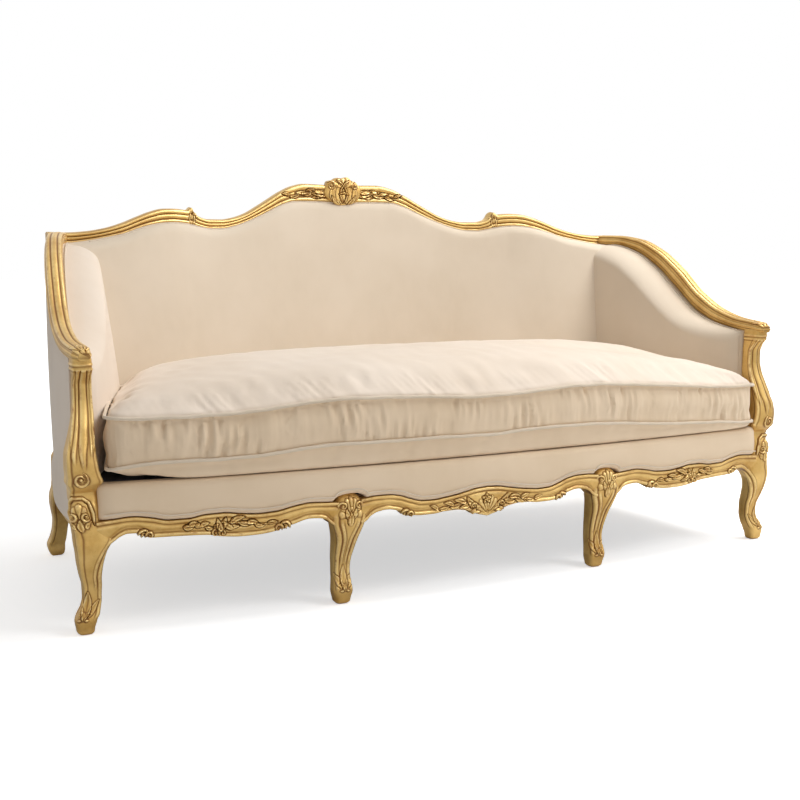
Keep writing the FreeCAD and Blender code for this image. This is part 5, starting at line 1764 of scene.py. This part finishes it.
    def gathered(self, piece: Piece) -> Array:
        """Adds gathers along the boxing, pull lines at the seams and a soft rumple on top."""
        places, normals = (read(piece.data.vertices, key) for key in ("co", "normal"))
        x, y, z = places.T
        gap, along = self.rim(places)
        low, high = self.seam(False, x, y), self.seam(True, x, y)
        level = (z - low) / (high - low)
        share = np.clip(level, 0, 1)
        steep = smooth(0.45, 0.8, np.hypot(normals[:, 0], normals[:, 1]))
        rim = smooth(0.034, 0.020, gap)
        boxing = smooth(-0.02, 0.10, level) * smooth(1.02, 0.93, level) * steep * rim
        patchy = 0.12 + 0.88 * smooth(-0.5, 0.8, ripple(31, along, z, 0.24, 6, 1.2))
        slant = along + 0.012 * (share - 0.5) * ripple(37, along, z * 0, 0.4, 4, 9.0)
        folds = ripple(5, slant, z, 0.021, 10, 16.0)
        depth = 0.0038 * boxing * patchy * (folds - 0.45 * np.exp(-(np.minimum(folds, 0) + 0.9) ** 2 / 0.08))
        depth += 0.0018 * boxing * ripple(8, slant, z, 0.070, 6, 5.0)
        above = (z > high + 0.001) * smooth(0.25, 0.7, normals[:, 2])
        bunched = smooth(-0.1, 0.9, ripple(33, along, z * 0, 0.42, 5, 9.0))
        pull = above * bell(gap, 0.075) * (0.15 + 0.85 * bunched)
        depth += 0.0026 * pull * ripple(11, along + 0.5 * gap, gap, 0.030, 9, 8.0)
        depth += 0.0026 * above * ripple(15, y, x, 0.17, 6, 3.0)
        depth += 0.0013 * above * ripple(19, x + y, x - y, 0.080, 8, 3.0)
        for seam in (low, high):
            depth -= 0.0030 * bell(z - seam, 0.0055) * smooth(0.03, 0.012, gap)
        below = (z < low - 0.002) * smooth(self.base + 0.001, self.base + 0.008, z) * rim
        depth += 0.0012 * below * ripple(23, along, z, 0.045, 6, 4.0)
        return places + normals * depth[:, None]

    def welt(self, name: str, upper: bool, node: str) -> Piece:
        """The covered cord sewn round one seam."""
        count = 1300
        points, normal = self.outline(count)
        out = points + normal * 0.0022
        wander = ripple(41 + upper, np.arange(count) * 0.004, np.zeros(count), 0.16, 7)
        z = self.seam(upper, *points.T) + 0.0008 * wander
        out[:, 1] += self.lean(out[:, 1], z)
        turn = full_turn(12)
        spun = self.cord * (1 + 0.05 * np.sin(turn * 2 + np.arange(count)[:, None] * 0.35))
        ring = np.stack([out[:, 0, None] + normal[:, 0, None] * spun * np.cos(turn),
                         out[:, 1, None] + normal[:, 1, None] * spun * np.cos(turn),
                         z[:, None] + spun * np.sin(turn)], axis=2)
        piece = skin(name, np.concatenate([ring, ring[:1]], axis=0), caps=False, angle=80)
        return self.fit(piece, self.finishes.back, "self_trim", node, body=Body.CUSHION)

    def build(self) -> None:
        """Makes the cover and both welts."""
        self.filled()
        for place, upper in (("upper", True), ("lower", False)):
            self.welt(f"{place}_welt_cord", upper, f"cushion_{place}_welt")


# ---- Carried pieces, room and camera ----


@dataclass
class HiddenFrame(Maker):
    """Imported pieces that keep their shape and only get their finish, and the dust cover under the seat.

    Attributes:
        thick: of the dust cover.
        sag: of the dust cover in its middle.
    """

    thick: float = 0.0008
    sag: float = 0.0030

    def dust_cover(self) -> Piece:
        """The thin dark cloth stretched under the seat, sagging a little between the rails."""
        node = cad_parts["dust_cover"]
        spots = np.array([node.matrix_world @ corner.co for corner in node.data.vertices])
        lines = []
        for line in (spots[spots[:, 1] < -0.30], spots[spots[:, 1] > 0.17]):
            line = line[np.argsort(line[:, 0])]
            x = np.linspace(line[0, 0], line[-1, 0], 150)
            lines.append(np.stack([x, np.interp(x, line[:, 0], line[:, 1])], axis=1))
        share = np.linspace(0, 1, 70)[None, :, None]
        plan = lines[0][:, None] * (1 - share) + lines[1][:, None] * share
        slack = np.sin(np.pi * share[..., 0]) * half_round(np.linspace(-1, 1, 150)[:, None])
        ruffled = self.sag - 0.0003 * ripple(51, plan[..., 0], plan[..., 1], 0.06, 7, 4.0)
        z = spots[:, 2].max() - 0.0004 - slack * ruffled
        top = np.concatenate([plan, z[..., None]], axis=2)
        under = with_axis(top, 2, top[..., 2] - self.thick)[:, ::-1]
        piece = skin("stretched_dust_cover", np.concatenate([top, under], axis=1), angle=60)
        return self.fit(piece, self.finishes.lining, "dark_lining", "dust_cover")

    def carry(self, material: Material, *nodes: str) -> None:
        """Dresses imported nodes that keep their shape."""
        for node in nodes:
            self.finishes.dress(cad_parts[node], material)
            LOG.info("%s keeps its packed shape", node)

    def build(self) -> None:
        """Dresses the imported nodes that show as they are, and makes the dust cover."""
        self.carry(self.finishes.beech, "rear_rail", "back_stuffing_rail", "back_stays",
                   "right_arm_stuffing_rail", "left_arm_stuffing_rail", "seat_braces", "corner_blocks",
                   "joint_dowels")
        self.carry(self.finishes.steel, "corner_block_screws")
        self.carry(self.finishes.jute, "seat_webbing_cross", "seat_webbing_long", "seat_hessian",
                   "back_hessian")
        self.dust_cover()
        self.carry(Gilding("plain_gilding", carved=False).make(), "right_side_rail", "left_side_rail")


@dataclass
class Studio:
    """Pale floor, soft light and the camera at the photograph's angle.

    Attributes:
        lens: in millimetres, for a sensor 36 mm wide; the image is taken as 800 by 800.
        place: of the camera.
        yaw: of the camera in degrees, to the right.
        pitch: of the camera in degrees, down.
        near: distance from the middle where the floor starts to whiten.
        far: distance where it is white.
        room: strength of the light from all round.
        lamps: name, place, size and power of each lamp.
    """

    lens: float = 51.75
    place: Triple = (-1.4144, -2.8611, 0.8380)
    yaw: float = 26.115
    pitch: float = 7.466
    near: float = 1.3
    far: float = 3.2
    room: float = 0.38
    lamps: tuple[tuple[str, Triple, float, float], ...] = (
        ("key", (2.4, -2.6, 3.4), 1.6, 54.0), ("fill", (-3.2, -3.0, 2.4), 2.6, 4.0),
        ("top", (1.8, -0.3, 3.3), 2.0, 90.0))

    def hang(self, name: str, data: bpy.types.ID, where: Triple) -> Piece:
        """Puts a camera or a lamp in the room."""
        holder = bpy.data.objects.new(name, data)
        holder.location = where
        bpy.context.scene.collection.objects.link(holder)
        return holder

    def camera(self) -> None:
        """Sets the camera."""
        data = bpy.data.cameras.new("view")
        data.lens, data.sensor_width = self.lens, 36.0
        holder = self.hang("view", data, self.place)
        holder.rotation_euler = (math.radians(90 - self.pitch), 0.0, math.radians(-self.yaw))
        bpy.context.scene.camera = holder

    def lamp(self, name: str, where: Triple, size: float, power: float) -> None:
        """A square soft lamp that faces the sofa."""
        data = bpy.data.lights.new(name, "AREA")
        data.size, data.energy = size, power
        aim = Vector((0.0, 0.0, 0.45)) - Vector(where)
        self.hang(name, data, where).rotation_euler = aim.to_track_quat("-Z", "Y").to_euler()

    def floor(self) -> None:
        """A pale floor that fades to white where the camera sees it unshaded."""
        bpy.ops.object.select_all(action="DESELECT")
        bpy.ops.mesh.primitive_plane_add(size=60.0, location=(0.0, 0.0, -0.0006))
        piece = bpy.context.object
        piece.name = "studio_floor"
        board = NodeBoard("studio_floor")
        board.even(Base_Color=(0.93, 0.93, 0.93, 1.0), Roughness=0.9, Specular_IOR_Level=0.1,
                   Emission_Color=(1.0, 1.0, 1.0, 1.0))
        away = board.add("ShaderNodeVectorMath", operation="LENGTH")
        board.join(board.place, away.inputs[0])
        fade = board.add("ShaderNodeMapRange", From_Min=self.near, From_Max=self.far, To_Min=0.55, To_Max=1.0)
        board.join(away.outputs["Value"], fade.inputs["Value"])
        seen = board.add("ShaderNodeLightPath").outputs["Is Camera Ray"]
        glow = board.math("MULTIPLY", seen, fade.outputs["Result"])
        board.join(glow, board.shader.inputs["Emission Strength"])
        piece.data.materials.append(board.material)

    def world(self) -> None:
        """Light from all round, which looks white where the camera, gloss or glass sees it."""
        scene = bpy.context.scene
        scene.world = scene.world or bpy.data.worlds.new("studio")
        scene.world.use_nodes = True
        nodes, links = scene.world.node_tree.nodes, scene.world.node_tree.links
        back = nodes["Background"]
        back.inputs["Color"].default_value = (1.0, 1.0, 1.0, 1.0)
        path = nodes.new("ShaderNodeLightPath")
        seen = path.outputs["Is Camera Ray"]
        for other in ("Is Glossy Ray", "Is Transmission Ray"):
            either = nodes.new("ShaderNodeMath")
            either.operation = "MAXIMUM"
            links.new(seen, either.inputs[0])
            links.new(path.outputs[other], either.inputs[1])
            seen = either.outputs[0]
        level = nodes.new("ShaderNodeMapRange")
        level.inputs["To Min"].default_value = self.room
        level.inputs["To Max"].default_value = 1.0
        links.new(seen, level.inputs["Value"])
        links.new(level.outputs["Result"], back.inputs["Strength"])

    def build(self) -> None:
        """Sets up the room."""
        bpy.context.scene.view_settings.view_transform = "Standard"
        self.world()
        self.camera()
        self.floor()
        for lamp in self.lamps:
            self.lamp(*lamp)


def main() -> None:
    """Builds the sofa piece by piece."""
    logging.basicConfig(level=logging.INFO, format="%(name)s: %(message)s")
    Studio().build()
    finishes = Finishes()
    for maker in (HiddenFrame, FrontRails, LeggedFrame, GildedArms, Crest, Upholstery, SeatCushion):
        maker(finishes).build()


if __name__ == "__main__":
    main()
